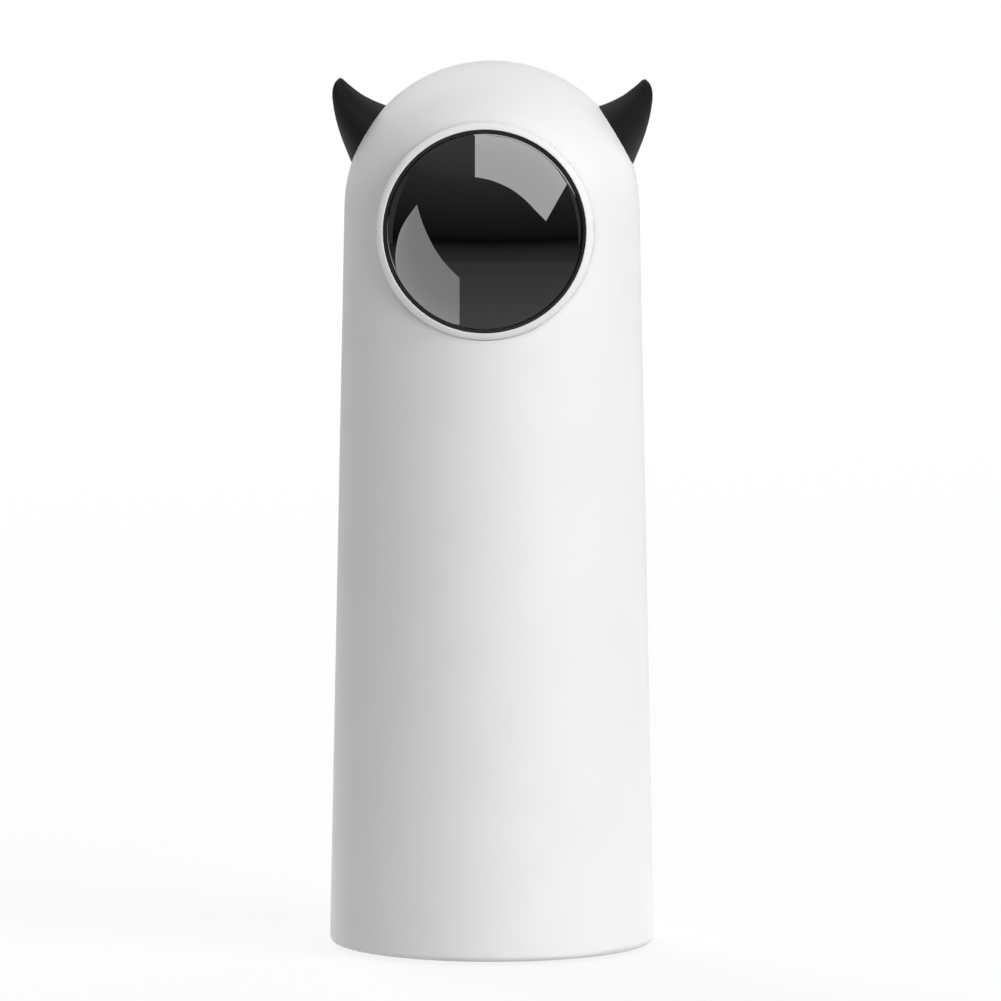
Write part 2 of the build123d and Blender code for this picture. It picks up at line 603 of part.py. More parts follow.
# ================================================================ horns
def horn(hand):
    """Claw-shaped horn seated on the head, hand 1 for +X and -1 for -X, with its fixing peg."""
    peg_line = Vector(cos(radians(HORN_ANGLE)) * hand, 0, sin(radians(HORN_ANGLE)))
    upward = Vector(-sin(radians(HORN_ANGLE)) * hand, 0, cos(radians(HORN_ANGLE)))
    level = Vector(0, -hand, 0)
    seat = Vector(0, 0, DOME_Z) + peg_line * HEAD_RADIUS
    with BuildPart() as claw:
        for low_out, low_up, high_out, high_up in HORN_SECTIONS:
            low = seat + peg_line * low_out + upward * low_up
            high = seat + peg_line * high_out + upward * high_up
            across = high - low
            half = across.length / 2
            middle = (low + high) / 2
            with BuildSketch(Plane(origin=middle, x_dir=across, z_dir=across.cross(level))):
                Ellipse(half, half * HORN_DEPTH_RATIO)
        tip = seat + peg_line * HORN_TIP[0] + upward * HORN_TIP[1]
        tip_ahead = (tip - middle).normalized()
        cap = tip + tip_ahead * HORN_TIP_RADIUS * sin(radians(HORN_TIP_TAPER))
        with BuildSketch(Plane(origin=cap, x_dir=tip_ahead.cross(level), z_dir=tip_ahead)):
            Circle(HORN_TIP_RADIUS * cos(radians(HORN_TIP_TAPER)))
        loft()
        with Locations(tip):
            Sphere(HORN_TIP_RADIUS)
        with Locations((0, 0, DOME_Z)):
            Sphere(HEAD_RADIUS + SLIP, mode=Mode.SUBTRACT)
        with BuildSketch(Plane(origin=Vector(0, 0, DOME_Z) + peg_line * PEG_INNER, z_dir=peg_line)):
            Circle(PEG_RADIUS)
        extrude(amount=PEG_OUTER - PEG_INNER)
    return claw.part


with BuildPart() as right_horn:
    add(horn(1))
right_horn.part.label = "right_horn"
export_step(right_horn.part, "parts/right_horn.step")

with BuildPart() as left_horn:
    add(horn(-1))
left_horn.part.label = "left_horn"
export_step(left_horn.part, "parts/left_horn.step")

# Push-on rings that hold the pegs from inside the head.
with BuildPart() as horn_retainers:
    for angle in (HORN_ANGLE, 180 - HORN_ANGLE):
        peg_line = Vector(cos(radians(angle)), 0, sin(radians(angle)))
        with BuildSketch(Plane(origin=Vector(0, 0, DOME_Z) + peg_line * RETAINER_SEAT, z_dir=peg_line)):
            Circle(RETAINER_RADIUS)
            Circle(PEG_RADIUS + SLIP, mode=Mode.SUBTRACT)
        extrude(amount=-RETAINER_THICKNESS)
horn_retainers.part.label = "horn_retainers"
export_step(horn_retainers.part, "parts/horn_retainers.step")

# ================================================================ bottom closure
with BuildPart() as base_plate:
    with BuildSketch(Plane.XY.offset(RIM_Z)):
        Circle(PLATE_RADIUS)
    extrude(amount=PLATE_TOP - RIM_Z)
    with BuildSketch(Plane.XY.offset(RIM_Z)):
        Circle(PAD_RADIUS + HOLE_GAP)
    extrude(amount=PAD_TOP - RIM_Z, mode=Mode.SUBTRACT)
    with BuildSketch(Plane.XY.offset(RIM_Z)):
        with Locations(*base_screw_spots):
            Circle(BASE_SCREW_HEAD + HOLE_GAP)
    extrude(amount=BASE_SEAT_Z - RIM_Z, mode=Mode.SUBTRACT)
    with BuildSketch(Plane.XY.offset(BASE_SEAT_Z)):
        with Locations(*base_screw_spots):
            Circle(BASE_SCREW_SHANK + HOLE_GAP)
    extrude(amount=PLATE_TOP - BASE_SEAT_Z, mode=Mode.SUBTRACT)
base_plate.part.label = "base_plate"
export_step(base_plate.part, "parts/base_plate.step")

with BuildPart() as foot_pad:
    with BuildSketch(Plane.XY):
        Circle(PAD_RADIUS)
    extrude(amount=PAD_TOP)
    with BuildSketch(Plane.XY):
        Circle(PAD_RADIUS - PAD_TREAD_INSET)
        Circle(PAD_RADIUS - PAD_TREAD_INSET - PAD_TREAD_WIDTH, mode=Mode.SUBTRACT)
    extrude(amount=PAD_TREAD_DEPTH, mode=Mode.SUBTRACT)
foot_pad.part.label = "foot_pad"
export_step(foot_pad.part, "parts/foot_pad.step")

base_screw = cap_screw(BASE_SCREW_HEAD, BASE_SCREW_HEAD_HEIGHT, BASE_SCREW_SHANK, BASE_SCREW_LENGTH)
with BuildPart() as base_screws:
    for x, y in base_screw_spots:
        with Locations(Plane(origin=(x, y, BASE_SEAT_Z), z_dir=(0, 0, -1))):
            add(base_screw)
base_screws.part.label = "base_screws"
export_step(base_screws.part, "parts/base_screws.step")

# ================================================================ chassis
CUP_PLANE = Plane.XY.offset(FLANGE_TOP)
with BuildPart() as main_chassis:
    with BuildSketch(Plane.XY.offset(PLATE_TOP)):
        Circle(FLANGE_RADIUS)
        with Locations(*base_screw_spots):
            Circle(BASE_SCREW_SHANK + HOLE_GAP, mode=Mode.SUBTRACT)
    extrude(amount=FLANGE_TOP - PLATE_TOP)
    with BuildSketch(CUP_PLANE):
        with Locations((0, CELL_Y)):
            Circle(CUP_RADIUS)
    extrude(amount=CUP_TOP - FLANGE_TOP)
    with BuildSketch(CUP_PLANE):
        with Locations((0, (SPINE_FRONT + SPINE_BACK) / 2)):
            Rectangle(2 * SPINE_HALF_WIDTH, SPINE_BACK - SPINE_FRONT)
        with Locations(*POSTS):
            Circle(POST_RADIUS)
    extrude(amount=DECK_BOTTOM - FLANGE_TOP)
    for z in PCB_SCREW_Z:
        with BuildSketch(facing(PCB_FRONT)):
            with Locations((-PCB_SCREW_X, z), (PCB_SCREW_X, z)):
                Circle(STANDOFF_RADIUS)
        extrude(amount=PCB_FRONT - SPINE_BACK)
    with BuildSketch(Plane.XY.offset(CELL_BOTTOM)):
        with Locations((0, CELL_Y)):
            Circle(CELL_RADIUS + SLIP)
    extrude(amount=CUP_TOP - CELL_BOTTOM, mode=Mode.SUBTRACT)
    with BuildSketch(facing(SPINE_BACK)):
        with Locations((LEAD_WINDOW_X, LEAD_CREST_Z)):
            Rectangle(LEAD_WINDOW_WIDTH, LEAD_WINDOW_HEIGHT)
        with Locations((0, DECK_BOTTOM)):
            Rectangle(2 * (PAN_MOTOR_RADIUS + GAP), 2 * (PAN_MOTOR_HEIGHT + GAP))
    extrude(amount=SPINE_BACK - SPINE_FRONT, mode=Mode.SUBTRACT)
    with BuildSketch(Plane.XY.offset(DECK_BOTTOM)):
        with Locations(*POSTS):
            Circle(DECK_SCREW_SHANK + SLIP)
    extrude(amount=-DECK_SCREW_LENGTH - PILOT_SPARE, mode=Mode.SUBTRACT)
    with BuildSketch(facing(PCB_FRONT)):
        for z in PCB_SCREW_Z:
            with Locations((-PCB_SCREW_X, z), (PCB_SCREW_X, z)):
                Circle(SMALL_SHANK + SLIP)
    extrude(amount=PCB_SCREW_LENGTH + PILOT_SPARE, mode=Mode.SUBTRACT)
    with BuildSketch(facing(SPINE_FRONT)):
        with Locations((-STRAP_SCREW_X, STRAP_Z), (STRAP_SCREW_X, STRAP_Z)):
            Circle(SMALL_SHANK + SLIP)
    extrude(amount=-STRAP_SCREW_LENGTH, mode=Mode.SUBTRACT)
main_chassis.part.label = "main_chassis"
export_step(main_chassis.part, "parts/main_chassis.step")

# ================================================================ rechargeable cell
with BuildPart() as battery_cell:
    with BuildSketch(Plane.XY.offset(CELL_BOTTOM)):
        with Locations((0, CELL_Y)):
            Circle(CELL_RADIUS)
    extrude(amount=CELL_HEIGHT)
    fillet(battery_cell.edges().group_by(Axis.Z)[-1], radius=CELL_EDGE)
    with BuildSketch(Plane.XY.offset(CELL_TOP - CELL_GROOVE_DROP)):
        with Locations((0, CELL_Y)):
            Circle(CELL_RADIUS)
            Circle(CELL_RADIUS - CELL_GROOVE_DEPTH, mode=Mode.SUBTRACT)
    extrude(amount=CELL_GROOVE_WIDTH, mode=Mode.SUBTRACT)
battery_cell.part.label = "battery_cell"
export_step(battery_cell.part, "parts/battery_cell.step")

with BuildPart() as battery_board:
    with BuildSketch(Plane.XY.offset(CELL_TOP)):
        with Locations((0, CELL_Y)):
            Circle(BOARD_RADIUS)
    extrude(amount=BOARD_THICKNESS)
    with Locations((0, CELL_Y - BOARD_CHIP[1], CELL_TOP + BOARD_THICKNESS + BOARD_CHIP[2] / 2)):
        Box(*BOARD_CHIP)
battery_board.part.label = "battery_board"
export_step(battery_board.part, "parts/battery_board.step")

STRAP_PLANE = Plane.XY.offset(STRAP_Z - STRAP_HEIGHT / 2)
with BuildPart() as battery_strap:
    with BuildSketch(STRAP_PLANE):
        with Locations((0, CELL_Y)):
            Circle(STRAP_OUTER)
        with Locations((0, CELL_Y + STRAP_OUTER)):
            Rectangle(2 * STRAP_OUTER, 2 * STRAP_OUTER, mode=Mode.SUBTRACT)
        with Locations((0, (CELL_Y + SPINE_FRONT) / 2)):
            Rectangle(2 * STRAP_OUTER, SPINE_FRONT - CELL_Y)
        with Locations((0, (STRAP_TAB_FRONT + SPINE_FRONT) / 2)):
            Rectangle(2 * STRAP_TAB_REACH, STRAP_TAB_THICKNESS)
        with Locations((0, CELL_Y)):
            Circle(STRAP_INNER, mode=Mode.SUBTRACT)
        with Locations((0, (CELL_Y + SPINE_FRONT) / 2)):
            Rectangle(2 * STRAP_INNER, SPINE_FRONT - CELL_Y, mode=Mode.SUBTRACT)
    extrude(amount=STRAP_HEIGHT)
    with BuildSketch(facing(SPINE_FRONT)):
        with Locations((-STRAP_SCREW_X, STRAP_Z), (STRAP_SCREW_X, STRAP_Z)):
            Circle(SMALL_SHANK + HOLE_GAP)
    extrude(amount=STRAP_TAB_THICKNESS, mode=Mode.SUBTRACT)
battery_strap.part.label = "battery_strap"
export_step(battery_strap.part, "parts/battery_strap.step")

strap_screw = cap_screw(SMALL_HEAD, SMALL_HEAD_HEIGHT, SMALL_SHANK, STRAP_SCREW_LENGTH)
with BuildPart() as strap_screws:
    for x in (-STRAP_SCREW_X, STRAP_SCREW_X):
        with Locations(Plane(origin=(x, STRAP_TAB_FRONT, STRAP_Z), z_dir=(0, -1, 0))):
            add(strap_screw)
strap_screws.part.label = "strap_screws"
export_step(strap_screws.part, "parts/strap_screws.step")

with BuildPart() as battery_connector:
    with Locations((BATTERY_PLUG_X, PLUG_MIDDLE_Y, BATTERY_PLUG_Z)):
        Box(*BATTERY_PLUG)
battery_connector.part.label = "battery_connector"
export_step(battery_connector.part, "parts/battery_connector.step")

# Two leads from the protection board, through the window in the spine, down to the connector.
with BuildPart() as battery_leads:
    for side_step in (-LEAD_SPACING / 2, LEAD_SPACING / 2):
        with BuildLine(mode=Mode.PRIVATE) as route:
            FilletPolyline(
                (side_step + LEAD_START_X, LEAD_START_Y, LEAD_START_Z),
                (side_step + LEAD_START_X, LEAD_START_Y, LEAD_CREST_Z),
                (side_step + LEAD_WINDOW_X, SPINE_FRONT, LEAD_CREST_Z),
                (side_step + LEAD_WINDOW_X, LEAD_DROP_Y, LEAD_CREST_Z),
                (side_step + LEAD_WINDOW_X, LEAD_DROP_Y, LEAD_TURN_Z),
                (side_step + BATTERY_PLUG_X, PLUG_MIDDLE_Y, LEAD_END_Z + LEAD_END_RUN),
                (side_step + BATTERY_PLUG_X, PLUG_MIDDLE_Y, LEAD_END_Z),
                radius=LEAD_BEND,
            )
        with BuildSketch(Plane(origin=route.line @ 0, z_dir=route.line % 0)):
            Circle(LEAD_RADIUS)
        sweep(path=route.line)
battery_leads.part.label = "battery_leads"
export_step(battery_leads.part, "parts/battery_leads.step")

# ================================================================ circuit board
with BuildPart() as main_pcb:
    with BuildSketch(facing(PCB_BACK)):
        with Locations((0, (PCB_BOTTOM + PCB_TOP) / 2)):
            RectangleRounded(2 * PCB_HALF_WIDTH, PCB_TOP - PCB_BOTTOM, PCB_CORNER)
        for z in PCB_SCREW_Z:
            with Locations((-PCB_SCREW_X, z), (PCB_SCREW_X, z)):
                Circle(SMALL_SHANK + HOLE_GAP, mode=Mode.SUBTRACT)
    extrude(amount=PCB_THICKNESS)
main_pcb.part.label = "main_pcb"
export_step(main_pcb.part, "parts/main_pcb.step")

pcb_screw = cap_screw(SMALL_HEAD, SMALL_HEAD_HEIGHT, SMALL_SHANK, PCB_SCREW_LENGTH)
with BuildPart() as pcb_screws:
    for x in (-PCB_SCREW_X, PCB_SCREW_X):
        for z in PCB_SCREW_Z:
            with Locations(Plane(origin=(x, PCB_BACK, z), z_dir=(0, 1, 0))):
                add(pcb_screw)
pcb_screws.part.label = "pcb_screws"
export_step(pcb_screws.part, "parts/pcb_screws.step")

with BuildPart() as mcu_chip:
    with Locations((0, PCB_BACK + CHIP[1] / 2, CHIP_Z)):
        Box(*CHIP)
mcu_chip.part.label = "mcu_chip"
export_step(mcu_chip.part, "parts/mcu_chip.step")

with BuildPart() as pcb_components:
    for x, rise, width, depth, height in SMALL_PARTS:
        with Locations((x, PCB_BACK + depth / 2, PCB_BOTTOM + rise)):
            Box(width, depth, height)
pcb_components.part.label = "pcb_components"
export_step(pcb_components.part, "parts/pcb_components.step")

with BuildPart() as motor_connectors:
    for x in (-MOTOR_PLUG_X, MOTOR_PLUG_X):
        with Locations((x, MOTOR_PLUG_Y, MOTOR_PLUG_Z)):
            Box(*MOTOR_PLUG)
motor_connectors.part.label = "motor_connectors"
export_step(motor_connectors.part, "parts/motor_connectors.step")

# ================================================================ button, light and charging port
with BuildPart() as tact_switch:
    with Locations((0, (PCB_BACK + SWITCH_BACK) / 2, BUTTON_Z)):
        Box(SWITCH_SIZE, SWITCH_BACK - PCB_BACK, SWITCH_SIZE)
    with BuildSketch(facing(SWITCH_BACK)):
        with Locations((0, BUTTON_Z)):
            Circle(PLUNGER_RADIUS + RUN)
    extrude(amount=SWITCH_BACK - PLUNGER_POCKET, mode=Mode.SUBTRACT)
tact_switch.part.label = "tact_switch"
export_step(tact_switch.part, "parts/tact_switch.step")

with BuildPart() as switch_plunger:
    with BuildSketch(facing(PLUNGER_END)):
        with Locations((0, BUTTON_Z)):
            Circle(PLUNGER_RADIUS)
    extrude(amount=PLUNGER_END - PLUNGER_START)
switch_plunger.part.label = "switch_plunger"
export_step(switch_plunger.part, "parts/switch_plunger.step")

with BuildPart() as power_button:
    with BuildSketch(facing(BUTTON_FACE)):
        with Locations((0, BUTTON_Z)):
            Circle(BUTTON_RADIUS)
    extrude(amount=BUTTON_FACE - BUTTON_FLANGE_FRONT)
    fillet(power_button.edges().sort_by(Axis.Y)[-1], radius=BUTTON_CROWN)
    with BuildSketch(facing(BUTTON_FLANGE_FRONT)):
        with Locations((0, BUTTON_Z)):
            Circle(BUTTON_FLANGE_RADIUS)
    extrude(amount=BUTTON_FLANGE_THICKNESS)
    with BuildSketch(facing(BUTTON_FLANGE_BACK)):
        with Locations((0, BUTTON_Z)):
            Circle(BUTTON_STEM_RADIUS)
    extrude(amount=BUTTON_FLANGE_BACK - BUTTON_STEM_END)
power_button.part.label = "power_button"
export_step(power_button.part, "parts/power_button.step")

with BuildPart() as indicator_led:
    with Locations((0, PCB_BACK + LED[1] / 2, LIGHT_Z)):
        Box(*LED)
indicator_led.part.label = "indicator_led"
export_step(indicator_led.part, "parts/indicator_led.step")

with BuildPart() as light_pipe:
    with BuildSketch(facing(LIGHT_END)):
        with Locations((0, LIGHT_Z)):
            Circle(LIGHT_RADIUS)
    extrude(amount=LIGHT_END - LIGHT_START)
    with BuildSketch(facing(LIGHT_COLLAR_FRONT)):
        with Locations((0, LIGHT_Z)):
            Circle(LIGHT_COLLAR_RADIUS)
    extrude(amount=LIGHT_COLLAR_THICKNESS)
light_pipe.part.label = "light_pipe"
export_step(light_pipe.part, "parts/light_pipe.step")

with BuildPart() as usb_port:
    with BuildSketch(facing(PORT_END)):
        with Locations((0, PORT_Z)):
            SlotOverall(PORT_WIDTH, PORT_HEIGHT)
    extrude(amount=PORT_END - PCB_BACK)
    with BuildSketch(facing(PORT_END)):
        with Locations((0, PORT_Z)):
            SlotOverall(PORT_WIDTH - 2 * PORT_METAL, PORT_HEIGHT - 2 * PORT_METAL)
    extrude(amount=PORT_CAVITY, mode=Mode.SUBTRACT)
usb_port.part.label = "usb_port"
export_step(usb_port.part, "parts/usb_port.step")

with BuildPart() as usb_tongue:
    with Locations((0, PORT_END - PORT_CAVITY + TONGUE_LENGTH / 2, PORT_Z)):
        Box(TONGUE_WIDTH, TONGUE_LENGTH, TONGUE_THICKNESS)
usb_tongue.part.label = "usb_tongue"
export_step(usb_tongue.part, "parts/usb_tongue.step")

# ================================================================ deck
with BuildPart() as top_deck:
    with BuildSketch(Plane.XY.offset(DECK_BOTTOM)):
        Circle(DECK_RADIUS)
        Circle(AXLE_RADIUS + SLIP, mode=Mode.SUBTRACT)
        with Locations((0, PAN_CENTRES)):
            Circle(PINION_REACH + GAP, mode=Mode.SUBTRACT)
        with Locations(*POSTS):
            Circle(DECK_SCREW_SHANK + HOLE_GAP, mode=Mode.SUBTRACT)
        with Locations((-PAN_MOTOR_EAR_X, PAN_CENTRES), (PAN_MOTOR_EAR_X, PAN_CENTRES)):
            Circle(SMALL_SHANK + HOLE_GAP, mode=Mode.SUBTRACT)
    extrude(amount=DECK_TOP - DECK_BOTTOM)
top_deck.part.label = "top_deck"
export_step(top_deck.part, "parts/top_deck.step")

deck_screw = cap_screw(
    DECK_SCREW_HEAD, DECK_SCREW_HEAD_HEIGHT, DECK_SCREW_SHANK, DECK_SCREW_LENGTH + DECK_TOP - DECK_BOTTOM
)
with BuildPart() as deck_screws:
    for x, y in POSTS:
        with Locations((x, y, DECK_TOP)):
            add(deck_screw)
deck_screws.part.label = "deck_screws"
export_step(deck_screws.part, "parts/deck_screws.step")

# ================================================================ pan drive
PAN_EAR_PLANE = Plane.XY.offset(DECK_BOTTOM - PAN_MOTOR_FLANGE)
with BuildPart() as pan_motor:
    with BuildSketch(Plane.XY.offset(PAN_MOTOR_BOTTOM)):
        with Locations((0, PAN_CENTRES)):
            Circle(PAN_MOTOR_RADIUS)
    extrude(amount=PAN_MOTOR_HEIGHT)
    with Locations((0, TERMINAL_Y, TERMINAL_BOTTOM + TERMINAL[2] / 2)):
        Box(*TERMINAL)
    with BuildSketch(PAN_EAR_PLANE):
        with Locations((0, PAN_CENTRES)):
            SlotOverall(2 * (PAN_MOTOR_EAR_X + PAN_MOTOR_EAR_RADIUS), 2 * PAN_MOTOR_EAR_RADIUS)
        with Locations((-PAN_MOTOR_EAR_X, PAN_CENTRES), (PAN_MOTOR_EAR_X, PAN_CENTRES)):
            Circle(SMALL_SHANK + SLIP, mode=Mode.SUBTRACT)
    extrude(amount=PAN_MOTOR_FLANGE)
    with BuildSketch(Plane.XY.offset(DECK_BOTTOM)):
        with Locations((0, PAN_CENTRES)):
            Circle(PAN_MOTOR_BOSS_RADIUS)
    extrude(amount=PAN_MOTOR_BOSS_TOP - DECK_BOTTOM)
    with BuildSketch(Plane.XY.offset(PAN_MOTOR_BOSS_TOP)):
        with Locations((0, PAN_CENTRES)):
            Circle(PAN_SHAFT_RADIUS + RUN)
    extrude(amount=-PAN_SHAFT_DEPTH - SLIP, mode=Mode.SUBTRACT)
pan_motor.part.label = "pan_motor"
export_step(pan_motor.part, "parts/pan_motor.step")

motor_screw = cap_screw(
    SMALL_HEAD, SMALL_HEAD_HEIGHT, SMALL_SHANK, DECK_TOP - DECK_BOTTOM + PAN_MOTOR_FLANGE + PILOT_SPARE
)
with BuildPart() as pan_motor_screws:
    for x in (-PAN_MOTOR_EAR_X, PAN_MOTOR_EAR_X):
        with Locations((x, PAN_CENTRES, DECK_TOP)):
            add(motor_screw)
pan_motor_screws.part.label = "pan_motor_screws"
export_step(pan_motor_screws.part, "parts/pan_motor_screws.step")

# Four thin leads from the motor's terminal block down to its connector on the board.
with BuildPart() as pan_motor_leads:
    for index in range(MOTOR_LEADS):
        lead_x = (index - (MOTOR_LEADS - 1) / 2) * MOTOR_LEAD_PITCH
        with BuildLine(mode=Mode.PRIVATE) as route:
            FilletPolyline(
                (lead_x, MOTOR_LEAD_Y, TERMINAL_BOTTOM),
                (lead_x, MOTOR_LEAD_Y, TERMINAL_BOTTOM - MOTOR_LEAD_DROP),
                (lead_x - MOTOR_PLUG_X, MOTOR_PLUG_Y, MOTOR_LEAD_END_Z + MOTOR_LEAD_RUN),
                (lead_x - MOTOR_PLUG_X, MOTOR_PLUG_Y, MOTOR_LEAD_END_Z),
                radius=MOTOR_LEAD_BEND,
            )
        with BuildSketch(Plane(origin=route.line @ 0, z_dir=route.line % 0)):
            Circle(MOTOR_LEAD_RADIUS)
        sweep(path=route.line)
pan_motor_leads.part.label = "pan_motor_leads"
export_step(pan_motor_leads.part, "parts/pan_motor_leads.step")

with BuildPart() as pan_motor_shaft:
    with BuildSketch(Plane.XY.offset(PAN_MOTOR_BOSS_TOP - PAN_SHAFT_DEPTH)):
        with Locations((0, PAN_CENTRES)):
            Circle(PAN_SHAFT_RADIUS)
    extrude(amount=PINION_TOP + PAN_SHAFT_DEPTH - PAN_MOTOR_BOSS_TOP)
pan_motor_shaft.part.label = "pan_motor_shaft"
export_step(pan_motor_shaft.part, "parts/pan_motor_shaft.step")

with BuildPart() as pan_pinion:
    with BuildSketch(Plane((0, PAN_CENTRES, PINION_BOTTOM))):
        with BuildLine():
            Polyline(*gear_outline(PAN_PINION_TEETH, -pi / 2 + pi / PAN_PINION_TEETH), close=True)
        make_face()
        Circle(PAN_SHAFT_RADIUS + SLIP, mode=Mode.SUBTRACT)
    extrude(amount=PINION_TOP - PINION_BOTTOM)
pan_pinion.part.label = "pan_pinion"
export_step(pan_pinion.part, "parts/pan_pinion.step")

# Fixed steel axle, headed below the deck and grooved above the yoke for its clip.
with BuildPart() as pan_axle:
    with BuildSketch(Plane.XY.offset(DECK_BOTTOM - AXLE_HEAD_HEIGHT)):
        Circle(AXLE_HEAD_RADIUS)
    extrude(amount=AXLE_HEAD_HEIGHT)
    with BuildSketch(Plane.XY.offset(DECK_BOTTOM)):
        Circle(AXLE_RADIUS)
    extrude(amount=AXLE_TOP - DECK_BOTTOM)
    chamfer(pan_axle.edges().group_by(Axis.Z)[-1], length=AXLE_CHAMFER)
    with BuildSketch(Plane.XY.offset(CLIP_BOTTOM)):
        Circle(AXLE_RADIUS)
        Circle(CLIP_GROOVE_RADIUS, mode=Mode.SUBTRACT)
    extrude(amount=CLIP_THICKNESS, mode=Mode.SUBTRACT)
pan_axle.part.label = "pan_axle"
export_step(pan_axle.part, "parts/pan_axle.step")

with BuildPart() as thrust_washer:
    with BuildSketch(Plane.XY.offset(DECK_TOP)):
        Circle(WASHER_RADIUS)
        Circle(AXLE_RADIUS + SLIP, mode=Mode.SUBTRACT)
    extrude(amount=WASHER_THICKNESS)
thrust_washer.part.label = "thrust_washer"
export_step(thrust_washer.part, "parts/thrust_washer.step")

with BuildPart() as pan_clip:
    with BuildSketch(Plane.XY.offset(CLIP_BOTTOM)):
        Circle(CLIP_RADIUS)
        Circle(CLIP_GROOVE_RADIUS + SLIP, mode=Mode.SUBTRACT)
        with Locations((CLIP_RADIUS / 2, 0)):
            Rectangle(CLIP_RADIUS, 2 * CLIP_GROOVE_RADIUS, mode=Mode.SUBTRACT)
    extrude(amount=CLIP_THICKNESS)
pan_clip.part.label = "pan_clip"
export_step(pan_clip.part, "parts/pan_clip.step")

with BuildPart() as pan_turntable:
    with BuildSketch(Plane.XY.offset(TABLE_GEAR_BOTTOM)):
        with BuildLine():
            Polyline(*gear_outline(PAN_TEETH, pi / 2), close=True)
        make_face()
    extrude(amount=TABLE_GEAR_TOP - TABLE_GEAR_BOTTOM)
    with BuildSketch(Plane.XY.offset(TABLE_GEAR_TOP)):
        Circle(TABLE_STEP_RADIUS)
    extrude(amount=TABLE_TOP - TABLE_GEAR_TOP)
    with BuildSketch(Plane.XY.offset(TABLE_BOTTOM)):
        Circle(TABLE_HUB_RADIUS)
    extrude(amount=TABLE_GEAR_BOTTOM - TABLE_BOTTOM)
    with BuildSketch(Plane.XY.offset(TABLE_BOTTOM)):
        Circle(AXLE_RADIUS + RUN)
    extrude(amount=TABLE_TOP - TABLE_BOTTOM, mode=Mode.SUBTRACT)
    with BuildSketch(Plane.XY.offset(TABLE_GEAR_BOTTOM)):
        with Locations((0, -YOKE_SCREW_Y), (0, YOKE_SCREW_Y)):
            Circle(SMALL_SHANK + SLIP)
    extrude(amount=TABLE_TOP - TABLE_GEAR_BOTTOM, mode=Mode.SUBTRACT)
pan_turntable.part.label = "pan_turntable"
export_step(pan_turntable.part, "parts/pan_turntable.step")

# ================================================================ yoke
ARM_MIDDLE = (ARM_INNER + ARM_OUTER) / 2
with BuildPart() as yoke:
    with BuildSketch(Plane.XY.offset(TABLE_TOP)):
        Circle(YOKE_FLOOR_RADIUS)
        Circle(AXLE_RADIUS + RUN, mode=Mode.SUBTRACT)
        with Locations((0, -YOKE_SCREW_Y), (0, YOKE_SCREW_Y)):
            Circle(SMALL_SHANK + HOLE_GAP, mode=Mode.SUBTRACT)
    extrude(amount=YOKE_FLOOR - TABLE_TOP)
    with BuildSketch(Plane.XY.offset(YOKE_FLOOR)):
        with Locations((-ARM_MIDDLE, 0), (ARM_MIDDLE, 0)):
            Rectangle(ARM_OUTER - ARM_INNER, 2 * ARM_HALF_DEPTH)
    extrude(amount=ARM_TOP - YOKE_FLOOR)
    fillet(
        yoke.edges().filter_by(Axis.X).filter_by_position(Axis.Z, ARM_TOP - SLIP, ARM_TOP + SLIP),
        radius=ARM_HALF_DEPTH - PIVOT_RADIUS,
    )
    with BuildSketch(side(WEB_LEFT)):
        with Locations((0, (YOKE_FLOOR + WEB_TOP) / 2)):
            Rectangle(2 * WEB_HALF_DEPTH, WEB_TOP - YOKE_FLOOR)
        with Locations((0, TILT_MOTOR_Z)):
            Circle(TILT_MOTOR_BOSS_RADIUS + SLIP, mode=Mode.SUBTRACT)
        with Locations((-TILT_MOTOR_EAR_Y, TILT_MOTOR_Z), (TILT_MOTOR_EAR_Y, TILT_MOTOR_Z)):
            Circle(TINY_SHANK + SLIP, mode=Mode.SUBTRACT)
    extrude(amount=WEB_RIGHT - WEB_LEFT)
    with BuildSketch(side(-ARM_OUTER)):
        with Locations((0, TILT_Z)):
            Circle(PIVOT_RADIUS + RUN)
    extrude(amount=2 * ARM_OUTER, mode=Mode.SUBTRACT)
yoke.part.label = "yoke"
export_step(yoke.part, "parts/yoke.step")

yoke_screw = cap_screw(SMALL_HEAD, SMALL_HEAD_HEIGHT, SMALL_SHANK, YOKE_SCREW_LENGTH)
with BuildPart() as yoke_screws:
    for y in (-YOKE_SCREW_Y, YOKE_SCREW_Y):
        with Locations((0, y, YOKE_FLOOR)):
            add(yoke_screw)
yoke_screws.part.label = "yoke_screws"
export_step(yoke_screws.part, "parts/yoke_screws.step")

